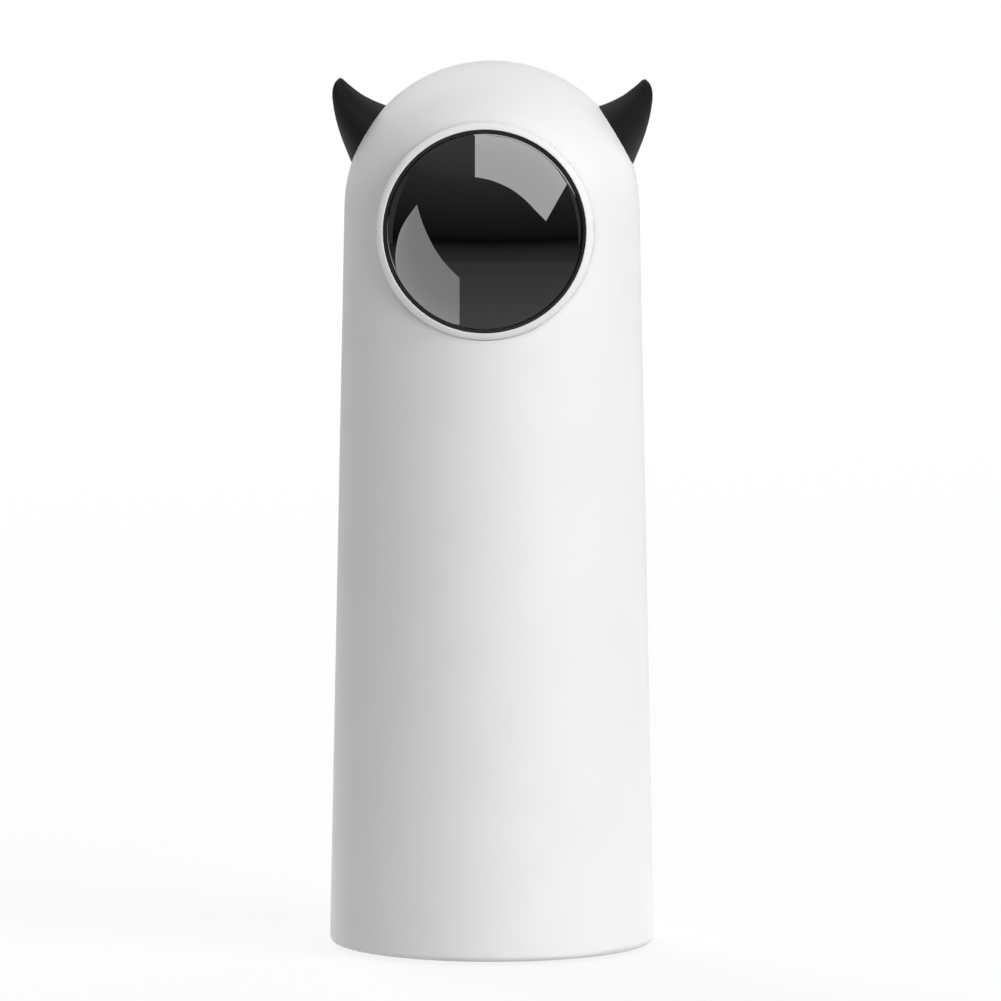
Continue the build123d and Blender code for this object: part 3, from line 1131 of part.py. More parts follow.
# ================================================================ tilt drive
with BuildPart() as tilt_motor:
    with BuildSketch(side(TILT_MOTOR_LEFT)):
        with Locations((0, TILT_MOTOR_Z)):
            Circle(TILT_MOTOR_RADIUS)
    extrude(amount=WEB_LEFT - TILT_MOTOR_LEFT)
    with BuildSketch(side(WEB_LEFT - TILT_MOTOR_EAR_THICKNESS)):
        with Locations((0, TILT_MOTOR_Z)):
            SlotOverall(2 * (TILT_MOTOR_EAR_Y + TILT_MOTOR_EAR_RADIUS), 2 * TILT_MOTOR_EAR_RADIUS)
        with Locations((-TILT_MOTOR_EAR_Y, TILT_MOTOR_Z), (TILT_MOTOR_EAR_Y, TILT_MOTOR_Z)):
            Circle(TINY_SHANK + SLIP, mode=Mode.SUBTRACT)
    extrude(amount=TILT_MOTOR_EAR_THICKNESS)
    with BuildSketch(side(WEB_LEFT)):
        with Locations((0, TILT_MOTOR_Z)):
            Circle(TILT_MOTOR_BOSS_RADIUS)
    extrude(amount=TILT_MOTOR_BOSS_LENGTH)
    with BuildSketch(side(WEB_LEFT + TILT_MOTOR_BOSS_LENGTH)):
        with Locations((0, TILT_MOTOR_Z)):
            Circle(TILT_SHAFT_RADIUS + RUN)
    extrude(amount=-TILT_SHAFT_DEPTH - SLIP, mode=Mode.SUBTRACT)
tilt_motor.part.label = "tilt_motor"
export_step(tilt_motor.part, "parts/tilt_motor.step")

tiny_screw = cap_screw(TINY_HEAD, TINY_HEAD_HEIGHT, TINY_SHANK, TINY_LENGTH)
with BuildPart() as tilt_motor_screws:
    for y in (-TILT_MOTOR_EAR_Y, TILT_MOTOR_EAR_Y):
        seat = (WEB_LEFT - TILT_MOTOR_EAR_THICKNESS, y, TILT_MOTOR_Z)
        with Locations(Plane(origin=seat, z_dir=(-1, 0, 0))):
            add(tiny_screw)
tilt_motor_screws.part.label = "tilt_motor_screws"
export_step(tilt_motor_screws.part, "parts/tilt_motor_screws.step")

TILT_SHAFT_LEFT = WEB_LEFT + TILT_MOTOR_BOSS_LENGTH - TILT_SHAFT_DEPTH
with BuildPart() as tilt_motor_shaft:
    with BuildSketch(side(TILT_SHAFT_LEFT)):
        with Locations((0, TILT_MOTOR_Z)):
            Circle(TILT_SHAFT_RADIUS)
    extrude(amount=TILT_GEAR_RIGHT + PINION_OVERLAP - TILT_SHAFT_LEFT)
tilt_motor_shaft.part.label = "tilt_motor_shaft"
export_step(tilt_motor_shaft.part, "parts/tilt_motor_shaft.step")

with BuildPart() as tilt_pinion:
    with BuildSketch(Plane(origin=(TILT_GEAR_LEFT, 0, TILT_MOTOR_Z), x_dir=(0, 1, 0), z_dir=(1, 0, 0))):
        with BuildLine():
            Polyline(*gear_outline(TILT_PINION_TEETH, pi / 2 + pi / TILT_PINION_TEETH), close=True)
        make_face()
        Circle(TILT_SHAFT_RADIUS + SLIP, mode=Mode.SUBTRACT)
    extrude(amount=TILT_GEAR_RIGHT - TILT_GEAR_LEFT)
tilt_pinion.part.label = "tilt_pinion"
export_step(tilt_pinion.part, "parts/tilt_pinion.step")

with BuildPart() as tilt_sector:
    with BuildSketch(Plane(origin=(TILT_GEAR_LEFT, 0, TILT_Z), x_dir=(0, 1, 0), z_dir=(1, 0, 0))):
        with BuildLine():
            Polyline(*gear_outline(TILT_TEETH, -pi / 2), close=True)
        make_face()
        with BuildLine():
            Polyline(
                (0, 0),
                (-SECTOR_REACH * sin(SECTOR_HALF_ANGLE), -SECTOR_REACH * cos(SECTOR_HALF_ANGLE)),
                (0, -SECTOR_REACH),
                (SECTOR_REACH * sin(SECTOR_HALF_ANGLE), -SECTOR_REACH * cos(SECTOR_HALF_ANGLE)),
                close=True,
            )
        make_face(mode=Mode.INTERSECT)
        Circle(SECTOR_HUB_RADIUS)
        Circle(TRUNNION_RADIUS + SLIP, mode=Mode.SUBTRACT)
    extrude(amount=TILT_GEAR_RIGHT - TILT_GEAR_LEFT)
tilt_sector.part.label = "tilt_sector"
export_step(tilt_sector.part, "parts/tilt_sector.step")

# ================================================================ laser head
with BuildPart() as laser_carrier:
    with BuildSketch(facing(CARRIER_BACK)):
        with Locations((0, TILT_Z)):
            RectangleRounded(2 * CARRIER_HALF_WIDTH, 2 * CARRIER_HALF_HEIGHT, CARRIER_EDGE)
    extrude(amount=CARRIER_BACK - CARRIER_FRONT)
    with BuildSketch(side(-TILT_GEAR_RIGHT)):
        with Locations((0, TILT_Z)):
            Circle(TRUNNION_RADIUS)
    extrude(amount=2 * TILT_GEAR_RIGHT)
    with BuildSketch(facing(CARRIER_BACK)):
        with Locations((0, TILT_Z)):
            Circle(BARREL_RADIUS + SLIP)
    extrude(amount=CARRIER_BACK - CARRIER_FRONT, mode=Mode.SUBTRACT)
    with BuildSketch(side(-TILT_GEAR_RIGHT)):
        with Locations((0, TILT_Z)):
            Circle(PIVOT_RADIUS + SLIP)
    extrude(amount=2 * TILT_GEAR_RIGHT, mode=Mode.SUBTRACT)
laser_carrier.part.label = "laser_carrier"
export_step(laser_carrier.part, "parts/laser_carrier.step")

with BuildPart() as tilt_pivot_pins:
    for start in (-PIVOT_OUTER, PIVOT_INNER):
        with BuildSketch(side(start)):
            with Locations((0, TILT_Z)):
                Circle(PIVOT_RADIUS)
        extrude(amount=PIVOT_OUTER - PIVOT_INNER)
tilt_pivot_pins.part.label = "tilt_pivot_pins"
export_step(tilt_pivot_pins.part, "parts/tilt_pivot_pins.step")

with BuildPart() as laser_module:
    with BuildSketch(facing(BARREL_BACK)):
        with Locations((0, TILT_Z)):
            Circle(BARREL_RADIUS)
    extrude(amount=BARREL_BACK - BARREL_FRONT - BARREL_STEP_LENGTH)
    with BuildSketch(facing(BARREL_FRONT + BARREL_STEP_LENGTH)):
        with Locations((0, TILT_Z)):
            Circle(BARREL_STEP_RADIUS)
    extrude(amount=BARREL_STEP_LENGTH)
    with BuildSketch(facing(BARREL_FRONT)):
        with Locations((0, TILT_Z)):
            Circle(BEAM_RADIUS)
    extrude(amount=-BEAM_DEPTH, mode=Mode.SUBTRACT)
laser_module.part.label = "laser_module"
export_step(laser_module.part, "parts/laser_module.step")

with BuildPart() as collimator_lens:
    with BuildSketch(facing(BARREL_FRONT + COLLIMATOR_DEPTH + COLLIMATOR_THICKNESS)):
        with Locations((0, TILT_Z)):
            Circle(BEAM_RADIUS - SLIP)
    extrude(amount=COLLIMATOR_THICKNESS)
collimator_lens.part.label = "collimator_lens"
export_step(collimator_lens.part, "parts/collimator_lens.step")

with BuildPart() as laser_driver_board:
    with BuildSketch(facing(BARREL_BACK + DRIVER_THICKNESS)):
        with Locations((0, TILT_Z)):
            Circle(DRIVER_RADIUS)
    extrude(amount=DRIVER_THICKNESS)
laser_driver_board.part.label = "laser_driver_board"
export_step(laser_driver_board.part, "parts/laser_driver_board.step")
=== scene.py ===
import json
import math

import bmesh
import bpy
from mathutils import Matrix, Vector


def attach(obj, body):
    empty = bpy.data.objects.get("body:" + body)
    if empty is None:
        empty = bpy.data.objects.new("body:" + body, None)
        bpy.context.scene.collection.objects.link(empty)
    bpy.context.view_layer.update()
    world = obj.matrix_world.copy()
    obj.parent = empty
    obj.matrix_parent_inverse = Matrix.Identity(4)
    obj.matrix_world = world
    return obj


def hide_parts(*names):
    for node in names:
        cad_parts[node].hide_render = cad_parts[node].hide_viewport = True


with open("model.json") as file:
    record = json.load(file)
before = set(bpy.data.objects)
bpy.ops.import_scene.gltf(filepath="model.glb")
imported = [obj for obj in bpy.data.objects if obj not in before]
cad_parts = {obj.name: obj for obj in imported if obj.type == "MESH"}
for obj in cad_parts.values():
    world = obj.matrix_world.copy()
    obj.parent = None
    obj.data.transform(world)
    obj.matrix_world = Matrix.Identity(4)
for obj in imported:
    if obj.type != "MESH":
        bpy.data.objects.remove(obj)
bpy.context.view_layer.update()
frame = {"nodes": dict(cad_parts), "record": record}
nodes = frame["nodes"]
scene = bpy.context.scene
MM = 0.001


def place(name, data):
    """A new object in the scene."""
    made = bpy.data.objects.new(name, data)
    scene.collection.objects.link(made)
    return made


def from_window_side(azimuth, elevation):
    """Direction outwards at an azimuth, counted right of the window's side, and an elevation."""
    level = math.cos(elevation)
    return Vector((math.sin(azimuth) * level, -math.cos(azimuth) * level, math.sin(elevation)))


# ---------------------------------------------------------------- camera
# The picture is square. Its outline fits a camera a little to the right of the window's side.
IMAGE = 1001
SENSOR = 36.0
FOCAL_PX = 14290.0
CLIP_END = 20
CAMERA_AZIMUTH = math.radians(3.06)
CAMERA_DISTANCE = 2.4
CAMERA_HEIGHT = 0.335
CAMERA_YAW = math.radians(3.026)
CAMERA_PITCH = math.radians(6.17)
AHEAD = -from_window_side(CAMERA_YAW, CAMERA_PITCH)

camera_data = bpy.data.cameras.new("camera")
camera_data.sensor_width = SENSOR
camera_data.lens = FOCAL_PX * SENSOR / IMAGE
camera_data.clip_end = CLIP_END
camera = place("camera", camera_data)
camera.location = (
    CAMERA_DISTANCE * math.sin(CAMERA_AZIMUTH),
    -CAMERA_DISTANCE * math.cos(CAMERA_AZIMUTH),
    CAMERA_HEIGHT,
)
camera.rotation_euler = AHEAD.to_track_quat("-Z", "Y").to_euler()
scene.camera = camera
scene.view_settings.view_transform = "Standard"


def ray_through(x, y):
    """Direction from the camera through a point of the picture, in pixels from its top left."""
    right = AHEAD.cross(Vector((0, 0, 1))).normalized()
    up = right.cross(AHEAD)
    return (AHEAD * FOCAL_PX + right * (x - IMAGE / 2) + up * (IMAGE / 2 - y)).normalized()


# ---------------------------------------------------------------- the window's place
WINDOW_TILT = math.radians(5.5)
WINDOW_AXIS = from_window_side(0, WINDOW_TILT)
WINDOW_RIGHT = Vector((1, 0, 0))
WINDOW_UP = WINDOW_AXIS.cross(WINDOW_RIGHT)
WINDOW_CENTRE = Vector((0, -24.17, 123.3)) * MM
GLASS_CURVE = 29.0 * MM
GLASS_APEX = 4.697 * MM
GLASS_CENTRE = WINDOW_CENTRE + WINDOW_AXIS * (GLASS_APEX - GLASS_CURVE)
RING_RADIUS = 18.2


# ---------------------------------------------------------------- nodes
def shade(colour, amount):
    return tuple(part * amount for part in colour)


def rgba(colour):
    """A plain colour gets its alpha, a socket stays as it is."""
    return (*colour, 1) if isinstance(colour, tuple) else colour


class Nodes:
    """A node tree, with short calls for the nodes that come up often."""

    def __init__(self, tree):
        self.tree = tree

    def fill(self, socket, source):
        """Link another node's output to the socket, or set the socket's own value."""
        if isinstance(source, bpy.types.NodeSocket):
            self.tree.links.new(source, socket)
        else:
            socket.default_value = source

    def add(self, kind, sockets=None, **settings):
        node = self.tree.nodes.new("ShaderNode" + kind)
        for key, value in settings.items():
            setattr(node, key, value)
        for socket, source in (sockets or {}).items():
            self.fill(node.inputs[socket], source)
        return node

    def math(self, operation, a, b=0):
        return self.add("Math", {0: a, 1: b}, operation=operation).outputs[0]

    def vector(self, operation, a, b=(0, 0, 0)):
        node = self.add("VectorMath", {0: a, 1: b}, operation=operation)
        return node.outputs["Value" if operation in ("LENGTH", "DOT_PRODUCT") else "Vector"]

    def mix(self, factor, a, b):
        """A colour between two others. The node's colour sockets are numbers 6 and 7."""
        return self.add("Mix", {0: factor, 6: rgba(a), 7: rgba(b)}, data_type="RGBA").outputs[2]

    def curve(self, value, levels):
        """Brightness by steps of (value, level), for values between 0 and 1."""
        node = self.add("ValToRGB", {"Fac": value})
        stops = node.color_ramp.elements
        while len(stops) < len(levels):
            stops.new(1.0)
        for stop, (position, _) in zip(stops, levels):
            stop.position = position
        for stop, (_, level) in zip(stops, levels):
            stop.color = (level, level, level, 1)
        return node.outputs["Color"]


class Material(Nodes):
    """A node material round one Principled shader, with helpers that add noise, bump and masks."""

    def __init__(self, name, **inputs):
        self.material = bpy.data.materials.new(name)
        self.material.use_nodes = True
        super().__init__(self.material.node_tree)
        self.shader = self.tree.nodes["Principled BSDF"]
        self.point = self.add("TexCoord").outputs["Object"]
        self.colour = None
        self.normal = None
        for key, value in inputs.items():
            self.set(key.replace("_", " "), value)

    def set(self, socket, value):
        self.fill(self.shader.inputs[socket], value)

    def paint(self, colour):
        self.colour = colour
        self.set("Base Color", colour)

    def along(self, axis):
        """The surface point's coordinate along X, Y or Z (0, 1 or 2), in metres."""
        return self.add("SeparateXYZ", {"Vector": self.point}).outputs[axis]

    def noise(self, size_mm, detail, stretch=None):
        """Noise with features of about this many millimetres, stretched along an axis if asked."""
        source = self.point
        if stretch:
            source = self.add("Mapping", {"Vector": source, "Scale": stretch}).outputs["Vector"]
        sockets = {"Vector": source, "Scale": 1 / (size_mm * MM), "Detail": detail}
        return self.add("TexNoise", sockets).outputs["Fac"]

    def remap(self, value, low, high, start=0.3, end=0.7):
        """A value between start and end, spread from low to high. Noise stays near the middle."""
        sockets = {"Value": value, "From Min": start, "From Max": end, "To Min": low, "To Max": high}
        return self.add("MapRange", sockets).outputs["Result"]

    def mottle(self, colour, vary, size_mm, detail):
        """Paint a colour that turns a little darker and lighter from place to place."""
        drift = self.remap(self.noise(size_mm, detail), 0, 1)
        self.paint(self.mix(drift, shade(colour, 1 - vary), shade(colour, 1 + vary)))

    def bump(self, height, distance_mm, strength=1.0):
        """Relief on top of the relief that is there."""
        sockets = {"Height": height, "Distance": distance_mm * MM, "Strength": strength}
        if self.normal:
            sockets["Normal"] = self.normal
        self.normal = self.add("Bump", sockets).outputs["Normal"]
        self.set("Normal", self.normal)


# ---------------------------------------------------------------- materials
COLOUR_DRIFT = (14, 4)  # size in millimetres and detail of the noise
DRIFT_SHARE = 0.015
SHEEN_DRIFT = (5, 5)
METAL_BLOTCH = (1.6, 5)
METAL_SHEEN_SPREAD = 0.1


def moulded(
    name, colour, roughness, grain_mm=0.22, grain_depth=0.004, spread=0.05, vary=DRIFT_SHARE, **inputs
):
    """Moulded plastic or rubber: spark-eroded grain, slow sheen changes and a trace of colour drift."""
    made = Material(name, **inputs)
    made.mottle(colour, vary, *COLOUR_DRIFT)
    made.set("Roughness", made.remap(made.noise(*SHEEN_DRIFT), roughness - spread, roughness + spread))
    if grain_depth:
        made.bump(made.noise(grain_mm, 2), grain_depth)
    return made


def metal(name, colour, roughness, stretch, line_mm, line_depth, vary=0.05):
    """Drawn, turned or ground metal: fine tool lines along one direction over a blotchy sheen."""
    made = Material(name, Metallic=1.0)
    made.mottle(colour, vary, *METAL_BLOTCH)
    lines = made.noise(line_mm, 4, stretch)
    made.set("Roughness", made.remap(lines, roughness - METAL_SHEEN_SPREAD, roughness + METAL_SHEEN_SPREAD))
    made.bump(lines, line_depth)
    return made


TRACE_PITCH = 0.55
TRACE_GAP = 0.62  # share of the pitch between two traces
TRACE_PATCH = (4.5, 1)
TRACE_BREAKS = (2.2, 2)
TRACE_BREAK_LEVEL = 0.46


def circuit(name, colour, trace):
    """Solder mask over copper: patches of parallel traces, upright or level, and a slight orange peel."""
    made = Material(name, Roughness=0.34)
    patch = made.math("GREATER_THAN", made.noise(*TRACE_PATCH), 0.5)
    rows = []
    for axis in (0, 2):
        step = made.math("FRACT", made.math("MULTIPLY", made.along(axis), 1 / (TRACE_PITCH * MM)))
        rows.append(made.math("GREATER_THAN", step, TRACE_GAP))
    upright = made.math("MULTIPLY", rows[0], patch)
    level = made.math("MULTIPLY", rows[1], made.math("SUBTRACT", 1, patch))
    unbroken = made.math("GREATER_THAN", made.noise(*TRACE_BREAKS), TRACE_BREAK_LEVEL)
    traces = made.math("MULTIPLY", made.math("ADD", upright, level), unbroken)
    made.paint(made.mix(traces, colour, trace))
    made.bump(traces, 0.03, 0.6)
    made.bump(made.noise(0.35, 3), 0.004)
    return made


HAZE = 0.02


def polished(name, colour):
    """Polished window plastic, black in depth, with the faintest haze in places."""
    made = Material(name)
    made.mottle(colour, DRIFT_SHARE, *COLOUR_DRIFT)
    made.set("Roughness", made.remap(made.noise(4, 6), 0, HAZE, 0.62, 0.9))
    return made


# Painted shade round the window's collar: how much it darkens the shell, how far out it reaches in
# millimetres, and the depths along the window's axis over which it fades in.
COLLAR_SHADE_SHARE = 0.09
COLLAR_SHADE_REACH = 1.1
COLLAR_SHADE_DEPTHS = (-14, -12)


def add_painted_collar_shade(made):
    """Painted shade where the window's collar rises out of the head: the colour darkens towards the
    collar's foot.
    """
    outward = made.vector("SUBTRACT", made.point, WINDOW_CENTRE)
    radius = made.vector("LENGTH", made.vector("CROSS_PRODUCT", outward, WINDOW_AXIS))
    depth = made.vector("DOT_PRODUCT", outward, WINDOW_AXIS)
    near = made.remap(radius, 1, 0, RING_RADIUS * MM, (RING_RADIUS + COLLAR_SHADE_REACH) * MM)
    front = made.remap(depth, 0, 1, COLLAR_SHADE_DEPTHS[0] * MM, COLLAR_SHADE_DEPTHS[1] * MM)
    here = made.math("MULTIPLY", made.math("MULTIPLY", near, near), front)
    made.paint(made.mix(here, made.colour, made.mix(COLLAR_SHADE_SHARE, made.colour, (0, 0, 0))))


SCUFF_TOP = 2.6
SCUFF_SHARE = 0.14
SCUFF_COLOUR = (0.35, 0.34, 0.33)


def add_scuffs(made):
    """Faint grey scuffs low on the body, where it slides over floors and shelves."""
    low = made.remap(made.along(2), 1, 0, 0, SCUFF_TOP * MM)
    marks = made.remap(made.noise(0.9, 6, (0.3, 0.3, 1)), 0, 1, 0.56, 0.66)
    faint = made.math("MULTIPLY", low, made.math("MULTIPLY", marks, SCUFF_SHARE))
    made.paint(made.mix(faint, made.colour, SCUFF_COLOUR))


def clear_plastic(name, colour, roughness, spread, grain_depth, clearness):
    """Plastic that lets this share of the light through."""
    through = {"Transmission_Weight": clearness, "IOR": 1.49}
    return moulded(name, colour, roughness, grain_depth=grain_depth, spread=spread, **through)


BY_SLOT = {
    "white_shell": moulded("shell_abs", (0.83, 0.83, 0.83), 0.46),
    "white_ring": moulded("ring_abs", (0.85, 0.85, 0.85), 0.3, grain_depth=0.001),
    "white_base": moulded("base_abs", (0.8, 0.8, 0.8), 0.55),
    "button_plastic": moulded("button_abs", (0.82, 0.82, 0.82), 0.38),
    "black_rubber": moulded("rim_rubber", (0.012, 0.012, 0.012), 0.4),
    "horn_rubber": moulded("horn_silicone", (0.006, 0.006, 0.006), 0.5, 0.15, 0.003),
    "foot_rubber": moulded("foot_rubber", (0.03, 0.03, 0.03), 0.7, 0.3, 0.01, vary=0.2),
    "dark_window": polished("window_tinted", (0.0015, 0.0015, 0.0016)),
    "grey_plastic": moulded("grey_nylon", (0.3, 0.3, 0.31), 0.5, 0.35, 0.008, vary=0.05),
    "chassis_plastic": moulded("chassis_abs", (0.05, 0.05, 0.055), 0.5, 0.3, 0.01, vary=0.12),
    "cell_wrap": moulded("cell_film", (0.03, 0.12, 0.35), 0.24, grain_depth=0, spread=0.1, vary=0.08),
    "green_board": circuit("board_mask", (0.012, 0.1, 0.035), (0.03, 0.19, 0.07)),
    "white_connector": moulded("connector_nylon", (0.75, 0.72, 0.62), 0.45, vary=0.04),
    "lead_insulation": moulded("lead_pvc", (0.35, 0.02, 0.015), 0.36, vary=0.1),
    "chip_black": moulded("chip_epoxy", (0.015, 0.015, 0.016), 0.5, 0.1, 0.006, vary=0.25),
    "led_clear": clear_plastic("pipe_clear", (0.92, 0.94, 0.95), 0.08, 0.04, 0, 0.75),
    "zinc_steel": metal("zinc_plated", (0.6, 0.6, 0.57), 0.36, (1, 1, 1), 0.3, 0.004, 0.12),
    "motor_steel": metal("drawn_can", (0.56, 0.56, 0.56), 0.32, (1, 1, 0.04), 0.12, 0.002),
    "port_steel": metal("nickel_shell", (0.6, 0.59, 0.57), 0.28, (1, 0.04, 1), 0.1, 0.002),
    "shaft_steel": metal("ground_steel", (0.64, 0.64, 0.65), 0.22, (0.05, 0.05, 1), 0.06, 0.001),
    "laser_brass": metal("turned_brass", (0.72, 0.5, 0.2), 0.27, (0.05, 1, 0.05), 0.09, 0.002, 0.08),
    "gear_plastic": moulded("acetal_natural", (0.8, 0.79, 0.74), 0.4, 0.4, 0.003, vary=0.03),
}
# The shell gets painted shade round the window's collar, and scuffs low on the body.
add_painted_collar_shade(BY_SLOT["white_shell"])
add_scuffs(BY_SLOT["white_shell"])
film = BY_SLOT["cell_wrap"]
film.bump(film.noise(1.5, 4, (1, 1, 0.25)), 0.05, 0.5)  # creases of the shrunk film
milky_pipe = clear_plastic("pipe_milky", (0.86, 0.87, 0.88), 0.3, 0.06, 0.002, 0.3)


def assign(material, name):
    slots = nodes[name].data.materials
    slots.clear()
    slots.append(material.material)


for part in frame["record"]["subparts"]:
    assign(BY_SLOT[part["material_slot"]], part["node"])
assign(milky_pipe, "light_pipe")


# ---------------------------------------------------------------- pieces
SHARP_ANGLE = math.radians(40)
TURNING_STEPS = 256


def add_piece(name, verts, faces, slot, replaced):
    """Smooth-shaded mesh that rides on the base and stands for a CAD node."""
    mesh = bpy.data.meshes.new(name)
    mesh.from_pydata([tuple(v) for v in verts], [], faces)
    grid = bmesh.new()
    grid.from_mesh(mesh)
    bmesh.ops.recalc_face_normals(grid, faces=grid.faces)
    grid.to_mesh(mesh)
    grid.free()
    mesh.polygons.foreach_set("use_smooth", [True] * len(mesh.polygons))
    mesh.set_sharp_from_angle(angle=SHARP_ANGLE)
    mesh.materials.append(BY_SLOT[slot].material)
    piece = place(name, mesh)
    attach(piece, "base")
    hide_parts(replaced)


def turned(name, profile, closed, slot, replaced):
    """A piece turned round the window's axis: its profile is (radius, height) in millimetres.

    An open profile starts and ends on the axis."""
    verts, faces, rows = [], [], []
    for radius, height in profile:
        if radius == 0:
            rows.append([len(verts)] * TURNING_STEPS)
            verts.append(WINDOW_CENTRE + WINDOW_AXIS * height * MM)
            continue
        rows.append(list(range(len(verts), len(verts) + TURNING_STEPS)))
        for i in range(TURNING_STEPS):
            turn = 2 * math.pi * i / TURNING_STEPS
            out = WINDOW_RIGHT * math.cos(turn) + WINDOW_UP * math.sin(turn)
            verts.append(WINDOW_CENTRE + out * radius * MM + WINDOW_AXIS * height * MM)
    pairs = list(zip(rows, rows[1:])) + ([(rows[-1], rows[0])] if closed else [])
    for low, high in pairs:
        for i in range(TURNING_STEPS):
            j = (i + 1) % TURNING_STEPS
            faces.append(tuple(dict.fromkeys((low[i], low[j], high[j], high[i]))))
    add_piece(name, verts, faces, slot, replaced)


def arc(centre, radius, start, end, steps, rise=None):
    """Points of an arc of a profile, angles in degrees from the outward radius towards the front.

    With a rise of its own the arc is an ellipse's."""
    points = []
    for i in range(steps + 1):
        turn = math.radians(start + (end - start) * i / steps)
        across = centre[0] + radius * math.cos(turn)
        points.append((across, centre[1] + (rise or radius) * math.sin(turn)))
    return points


# Sizes in millimetres. Heights are counted from the window's centre towards the front.
SEAT = -1.5
RING_INNER = 17.0
RING_FOOT_INNER = 16.35
RING_FOOT = -2.2
RING_LIP = 0.14
CROWN_CENTRE = (15.56, -1.04)
CROWN_RADIUS = 2.64
CROWN_RISE = 1.29
CROWN_START = 53.3
RIM_OUTER = 16.95
RIM_INNER = 16.4
RIM_TOP = -0.1
GLASS_RADIUS = 16.35
GLASS_THICKNESS = 1.4
GLASS_ROUND = 0.08
FRONT_CURVE = GLASS_CURVE / MM
BACK_CURVE = FRONT_CURVE - GLASS_THICKNESS
CURVE_CENTRE = GLASS_APEX / MM - FRONT_CURVE

# Snap ring: a crisp lip towards the window, then a crown that falls away outwards.
ring = [(RING_INNER, SEAT)]
ring += arc((RING_INNER + RING_LIP, -RING_LIP), RING_LIP, 180, 75, 8)
ring += arc(CROWN_CENTRE, CROWN_RADIUS, CROWN_START, 0, 24, CROWN_RISE)
ring += [(RING_RADIUS, RING_FOOT), (RING_FOOT_INNER, RING_FOOT), (RING_FOOT_INNER, SEAT)]
turned("window_ring", ring, True, "white_ring", "bezel_ring")

# Rubber rim between ring and window, with a round front bead.
bead = (RIM_OUTER - RIM_INNER) / 2
rim = [(RIM_INNER, SEAT)]
rim += arc((RIM_INNER + bead, RIM_TOP - bead), bead, 180, 0, 16)
rim += [(RIM_OUTER, SEAT)]
turned("window_rim", rim, True, "black_rubber", "lens_gasket")


def cap(curve, angle, steps):
    """Profile of a round cap, from the axis out to an angle."""
    turns = [angle * i / steps for i in range(steps + 1)]
    return [(curve * math.sin(turn), CURVE_CENTRE + curve * math.cos(turn)) for turn in turns]


# Tinted dome, front and back parallel, its edge broken by a small round.
edge = GLASS_RADIUS - GLASS_ROUND
dome = cap(FRONT_CURVE, math.asin(edge / FRONT_CURVE), 72)
dome += arc((edge, dome[-1][1] - GLASS_ROUND), GLASS_ROUND, 55, 0, 6)
dome += [(GLASS_RADIUS, SEAT)]
dome += reversed(cap(BACK_CURVE, math.acos((SEAT - CURVE_CENTRE) / BACK_CURVE), 24))
turned("window_dome", dome, False, "dark_window", "lens_window")


def smooth_line(points, steps):
    """Evenly stepped points on a Catmull-Rom curve through the given ones."""
    ends = [points[0], *points, points[-1]]
    line = []
    for i in range(steps + 1):
        t = i / steps * (len(points) - 1)
        k = min(int(t), len(points) - 2)
        t -= k
        a, b, c, d = (Vector(p) for p in ends[k : k + 4])
        bend = 2 * a - 5 * b + 4 * c - d
        twist = 3 * b - a - 3 * c + d
        line.append(0.5 * (2 * b + (c - a) * t + bend * t**2 + twist * t**3))
    return line


# Horns: the outer and the upper edge run from inside the head to the tip, in millimetres from a
# point at the middle of the head. The cross-sections between them are ellipses.
HORN_OUTER = (
    (23.1, 6.1), (23.8, 7.7), (24.67, 9.8), (25.48, 11.85), (26.17, 14.0), (26.66, 16.05),
    (27.0, 18.3), (27.02, 19.6), (26.82, 20.6), (26.4, 21.4), (25.75, 21.98),
)
HORN_UPPER = (
    (17.1, 17.0), (18.05, 17.38), (19.0, 17.73), (19.95, 18.12), (21.0, 18.63), (22.1, 19.25),
    (23.2, 20.05), (24.2, 20.85), (24.85, 21.42), (25.25, 21.78), (25.75, 21.98),
)
HORN_MIDDLE_Z = 125.0
HORN_SET_BACK = 1.0
HORN_DEPTH_RATIO = 0.8
HORN_STATIONS = 40
HORN_SIDES = 40


def add_horn(side, hand):
    def point(flat, depth):
        return Vector((flat.x * hand, depth + HORN_SET_BACK, flat.y + HORN_MIDDLE_Z)) * MM

    verts, faces = [], []
    edges = zip(smooth_line(HORN_OUTER, HORN_STATIONS), smooth_line(HORN_UPPER, HORN_STATIONS))
    for outer, upper in list(edges)[:-1]:
        middle = (outer + upper) / 2
        half = (outer - upper) / 2
        for i in range(HORN_SIDES):
            turn = 2 * math.pi * i / HORN_SIDES
            depth = half.length * HORN_DEPTH_RATIO * math.sin(turn)
            verts.append(point(middle + half * math.cos(turn), depth))
    for k in range(HORN_STATIONS - 1):
        for i in range(HORN_SIDES):
            a, b = k * HORN_SIDES + i, k * HORN_SIDES + (i + 1) % HORN_SIDES
            faces.append((a, b, b + HORN_SIDES, a + HORN_SIDES))
    faces.append(tuple(range(HORN_SIDES)))
    last, tip = (HORN_STATIONS - 1) * HORN_SIDES, len(verts)
    verts.append(point(Vector(HORN_UPPER[-1]), 0))
    for i in range(HORN_SIDES):
        faces.append((last + i, last + (i + 1) % HORN_SIDES, tip))
    add_piece(f"{side}_horn_skin", verts, faces, "horn_rubber", f"{side}_horn")


add_horn("right", 1)
add_horn("left", -1)


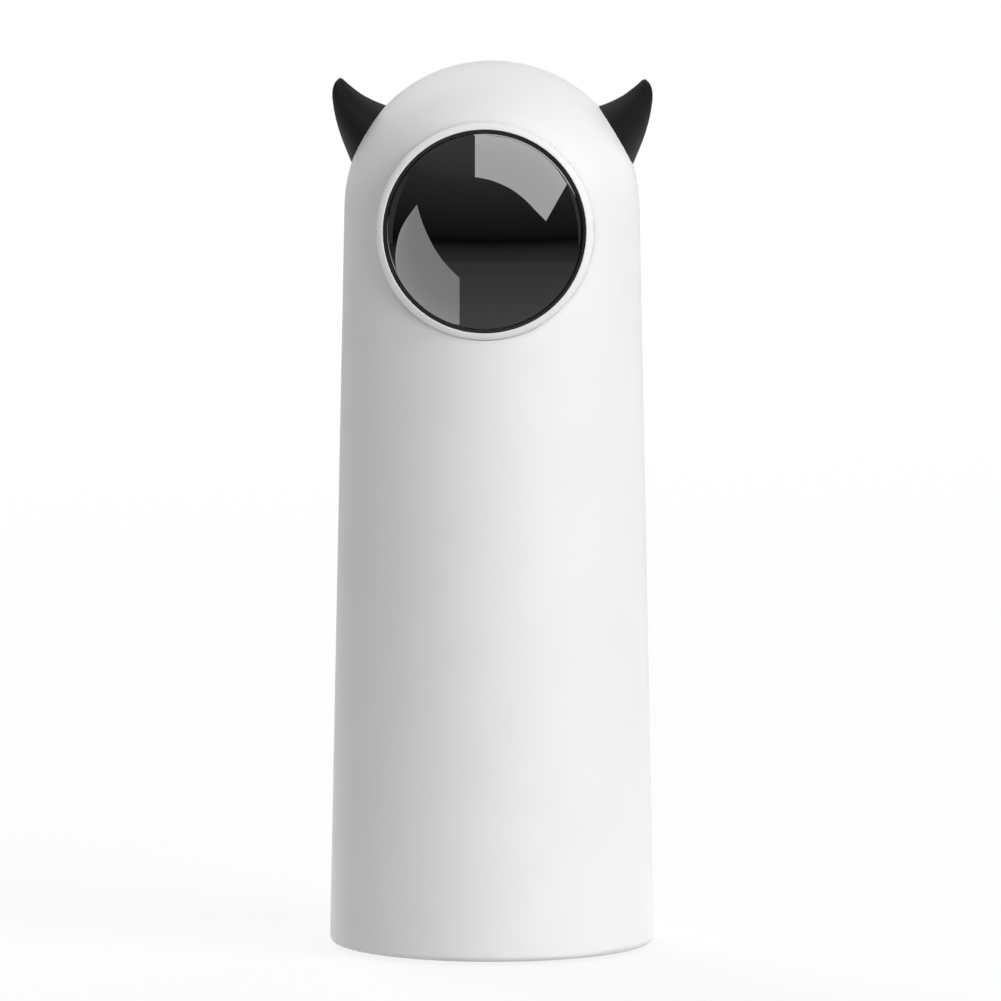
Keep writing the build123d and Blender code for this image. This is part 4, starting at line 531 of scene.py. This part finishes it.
# ---------------------------------------------------------------- stage
def emitter(name, verts, faces, hidden_from, strength=1.0):
    """A glowing stage mesh that some kinds of ray don't see, with its nodes."""
    surface = bpy.data.materials.new(name)
    surface.use_nodes = True
    surface.node_tree.nodes.clear()
    made = Nodes(surface.node_tree)
    glow = made.add("Emission", {"Strength": strength})
    out = made.add("OutputMaterial", {"Surface": glow.outputs[0]})
    mesh = bpy.data.meshes.new(name)
    mesh.from_pydata(verts, [], faces)
    mesh.materials.append(surface)
    obj = place(name, mesh)
    for ray in hidden_from:
        setattr(obj, "visible_" + ray, False)
    return obj, made, glow, out


def disc(radius, steps=96):
    turns = [2 * math.pi * i / steps for i in range(steps)]
    return [(radius * math.cos(t), radius * math.sin(t), 0) for t in turns], [tuple(range(steps))]


# The floor the camera sees is near white and takes a faint contact shadow.
FLOOR_RADIUS = 6.0
FLOOR_GLOW = 0.84
FLOOR_GREY = (0.14, 0.14, 0.14)
FLOOR_FADE = (0.8, 2.2)
only_camera = ("diffuse", "glossy", "transmission", "shadow")
_, made, glow, out = emitter("floor", *disc(FLOOR_RADIUS), only_camera, FLOOR_GLOW)
chalk = made.add("BsdfDiffuse", {"Color": rgba(FLOOR_GREY)})
pale = made.add("AddShader", {0: glow.outputs[0], 1: chalk.outputs[0]})
# It is clear from below, and fades into the white of the studio far off.
ground = made.add("NewGeometry")
far = made.vector("LENGTH", ground.outputs["Position"])
span = {"Value": far, "From Min": FLOOR_FADE[0], "From Max": FLOOR_FADE[1]}
fade = made.add("MapRange", span, interpolation_type="SMOOTHSTEP").outputs["Result"]
unseen = made.math("MAXIMUM", ground.outputs["Backfacing"], fade)
clear = made.add("BsdfTransparent")
seen = made.add("MixShader", {0: unseen, 1: pale.outputs[0], 2: clear.outputs[0]})
made.fill(out.inputs["Surface"], seen.outputs[0])

# What the glossy pieces see of the floor: bright near the object, dark far off.
BOUNCE_RADIUS = 5.0
BOUNCE_REACH = 3.0
BOUNCE_LEVELS = (
    (0.0, 1.15),
    (0.11, 1.13),
    (0.16, 0.98),
    (0.33, 0.73),
    (0.455, 0.7),
    (0.54, 0.455),
    (0.91, 0.36),
    (1.38, 0.21),
    (2.87, 0.07),
)
only_glossy = ("camera", "diffuse", "transmission", "shadow")
_, made, glow, _ = emitter("floor_bounce", *disc(BOUNCE_RADIUS), only_glossy)
far = made.vector("LENGTH", made.add("NewGeometry").outputs["Position"])
levels = [(distance / BOUNCE_REACH, level) for distance, level in BOUNCE_LEVELS]
made.fill(glow.inputs["Strength"], made.curve(made.math("DIVIDE", far, BOUNCE_REACH), levels))

# World: an even fill for matt surfaces, a dim gradient for reflections, white for the camera.
MATT_FILL = 0.3128
CAMERA_WHITE = 1.0
SKY_LEVELS = (
    (0.0, 0.04),
    (0.05, 0.1),
    (0.28, 0.21),
    (0.61, 0.43),
    (0.69, 0.6),
    (0.87, 0.79),
    (1.0, 0.64),
)
world = bpy.data.worlds.new("studio")
scene.world = world
world.use_nodes = True
world.node_tree.nodes.clear()
studio = Nodes(world.node_tree)
rays = studio.add("LightPath").outputs


def background(strength):
    return studio.add("Background", {"Color": rgba((1, 1, 1)), "Strength": strength}).outputs[0]


def choose(ray, others, these):
    return studio.add("MixShader", {0: rays[ray], 1: others, 2: these}).outputs[0]


direction = studio.add("TexCoord").outputs["Generated"]
rise = studio.add("SeparateXYZ", {"Vector": direction}).outputs["Z"]
sky = background(studio.curve(rise, SKY_LEVELS))
lit = choose("Is Glossy Ray", background(MATT_FILL), sky)
studio.add("OutputWorld", {"Surface": choose("Is Camera Ray", lit, background(CAMERA_WHITE))})

# Round softboxes aimed at the object: azimuth right of the window's side, elevation, power.
LAMPS = {
    "key": (60, 35, 48.1),
    "front": (30, 5, 37.8),
    "side": (-90, 5, 15.7),
    "rear_left": (-150, 35, 49.5),
    "rear_right": (150, 5, 36.9),
}
LAMP_DISTANCE = 3.0
LAMP_SIZE = 1.7
LAMP_TARGET = Vector((0, 0, 0.08))
for name, (azimuth, elevation, power) in LAMPS.items():
    light = bpy.data.lights.new(name, "AREA")
    light.shape = "DISK"
    light.size = LAMP_SIZE
    light.energy = power
    lamp = place(name, light)
    towards = from_window_side(math.radians(azimuth), math.radians(elevation))
    lamp.location = LAMP_TARGET + towards * LAMP_DISTANCE
    lamp.rotation_euler = towards.to_track_quat("Z", "Y").to_euler()
    lamp.visible_glossy = False
    lamp.visible_camera = False


# ---------------------------------------------------------------- cards mirrored in the window
only_window = bpy.data.collections.new("mirrored_in")
only_window.objects.link(bpy.data.objects["window_dome"])


def add_card(name, verts, faces, strength=1.0):
    """A glowing card that only the window mirrors."""
    card, made, glow, _ = emitter(name, verts, faces, ("camera", "diffuse", "shadow"), strength)
    card.light_linking.receiver_collection = only_window
    return card, made, glow


def mirrored(point, reach):
    """Where a card must stand to be seen in the dome at this point of the picture."""
    ray = ray_through(*point)
    start = camera.location - GLASS_CENTRE
    half = ray.dot(start)
    depth = -half - math.sqrt(half * half - start.length_squared + GLASS_CURVE**2)
    hit = camera.location + ray * depth
    normal = (hit - GLASS_CENTRE).normalized()
    away = ray - normal * 2 * ray.dot(normal)
    return hit + away * reach


def softbox(name, inner, outer, reach, strength, steps=24, rows=8):
    """A card between two lines of the picture, brighter towards the outer one."""
    verts = []
    for a, b in zip(smooth_line(inner, steps), smooth_line(outer, steps)):
        for j in range(rows + 1):
            verts.append(mirrored(a.lerp(b, j / rows), reach))
    faces = []
    for i in range(steps):
        for j in range(rows):
            k = i * (rows + 1) + j
            faces.append((k, k + 1, k + rows + 2, k + rows + 1))
    card, made, glow = add_card(name, verts, faces)
    level = card.data.attributes.new("level", "FLOAT", "POINT")
    for k in range(len(verts)):
        share = (k % (rows + 1) / rows) ** 3
        level.data[k].value = strength[0] + (strength[1] - strength[0]) * share
    read = made.add("Attribute", attribute_name="level")
    made.fill(glow.inputs["Strength"], read.outputs["Fac"])


softbox(
    "softbox_high",
    ((475, 177), (490, 180), (503, 185), (514, 191), (526, 200.5), (536, 211), (546, 221)),
    ((475, 135), (492, 135.8), (510, 139), (526, 145), (541, 154), (555, 167), (567, 184)),
    reach=1.5,
    strength=(8.5, 9.3),
)
softbox(
    "softbox_low",
    ((417, 204.5), (420.5, 217), (425, 229), (430.5, 241), (437, 252.5), (447, 265.5), (459.5, 278)),
    ((417, 204.5), (401, 229), (395.3, 257), (399.5, 280), (410.5, 298), (428, 314), (459.5, 327)),
    reach=0.1,
    strength=(4.45, 5.6),
)

# White side panels: the window's left and right edges mirror their front ends.
PANEL_BACK = 0.6
PANEL_TOP = 1.2
PANELS = {"panel_left": (-1.5, -0.65, 0.58), "panel_right": (1.5, -0.78, 0.72)}
for name, (x, front, strength) in PANELS.items():
    corners = [(x, front, 0.0), (x, PANEL_BACK, 0.0), (x, PANEL_BACK, PANEL_TOP), (x, front, PANEL_TOP)]
    add_card(name, corners, [(0, 1, 2, 3)], strength)
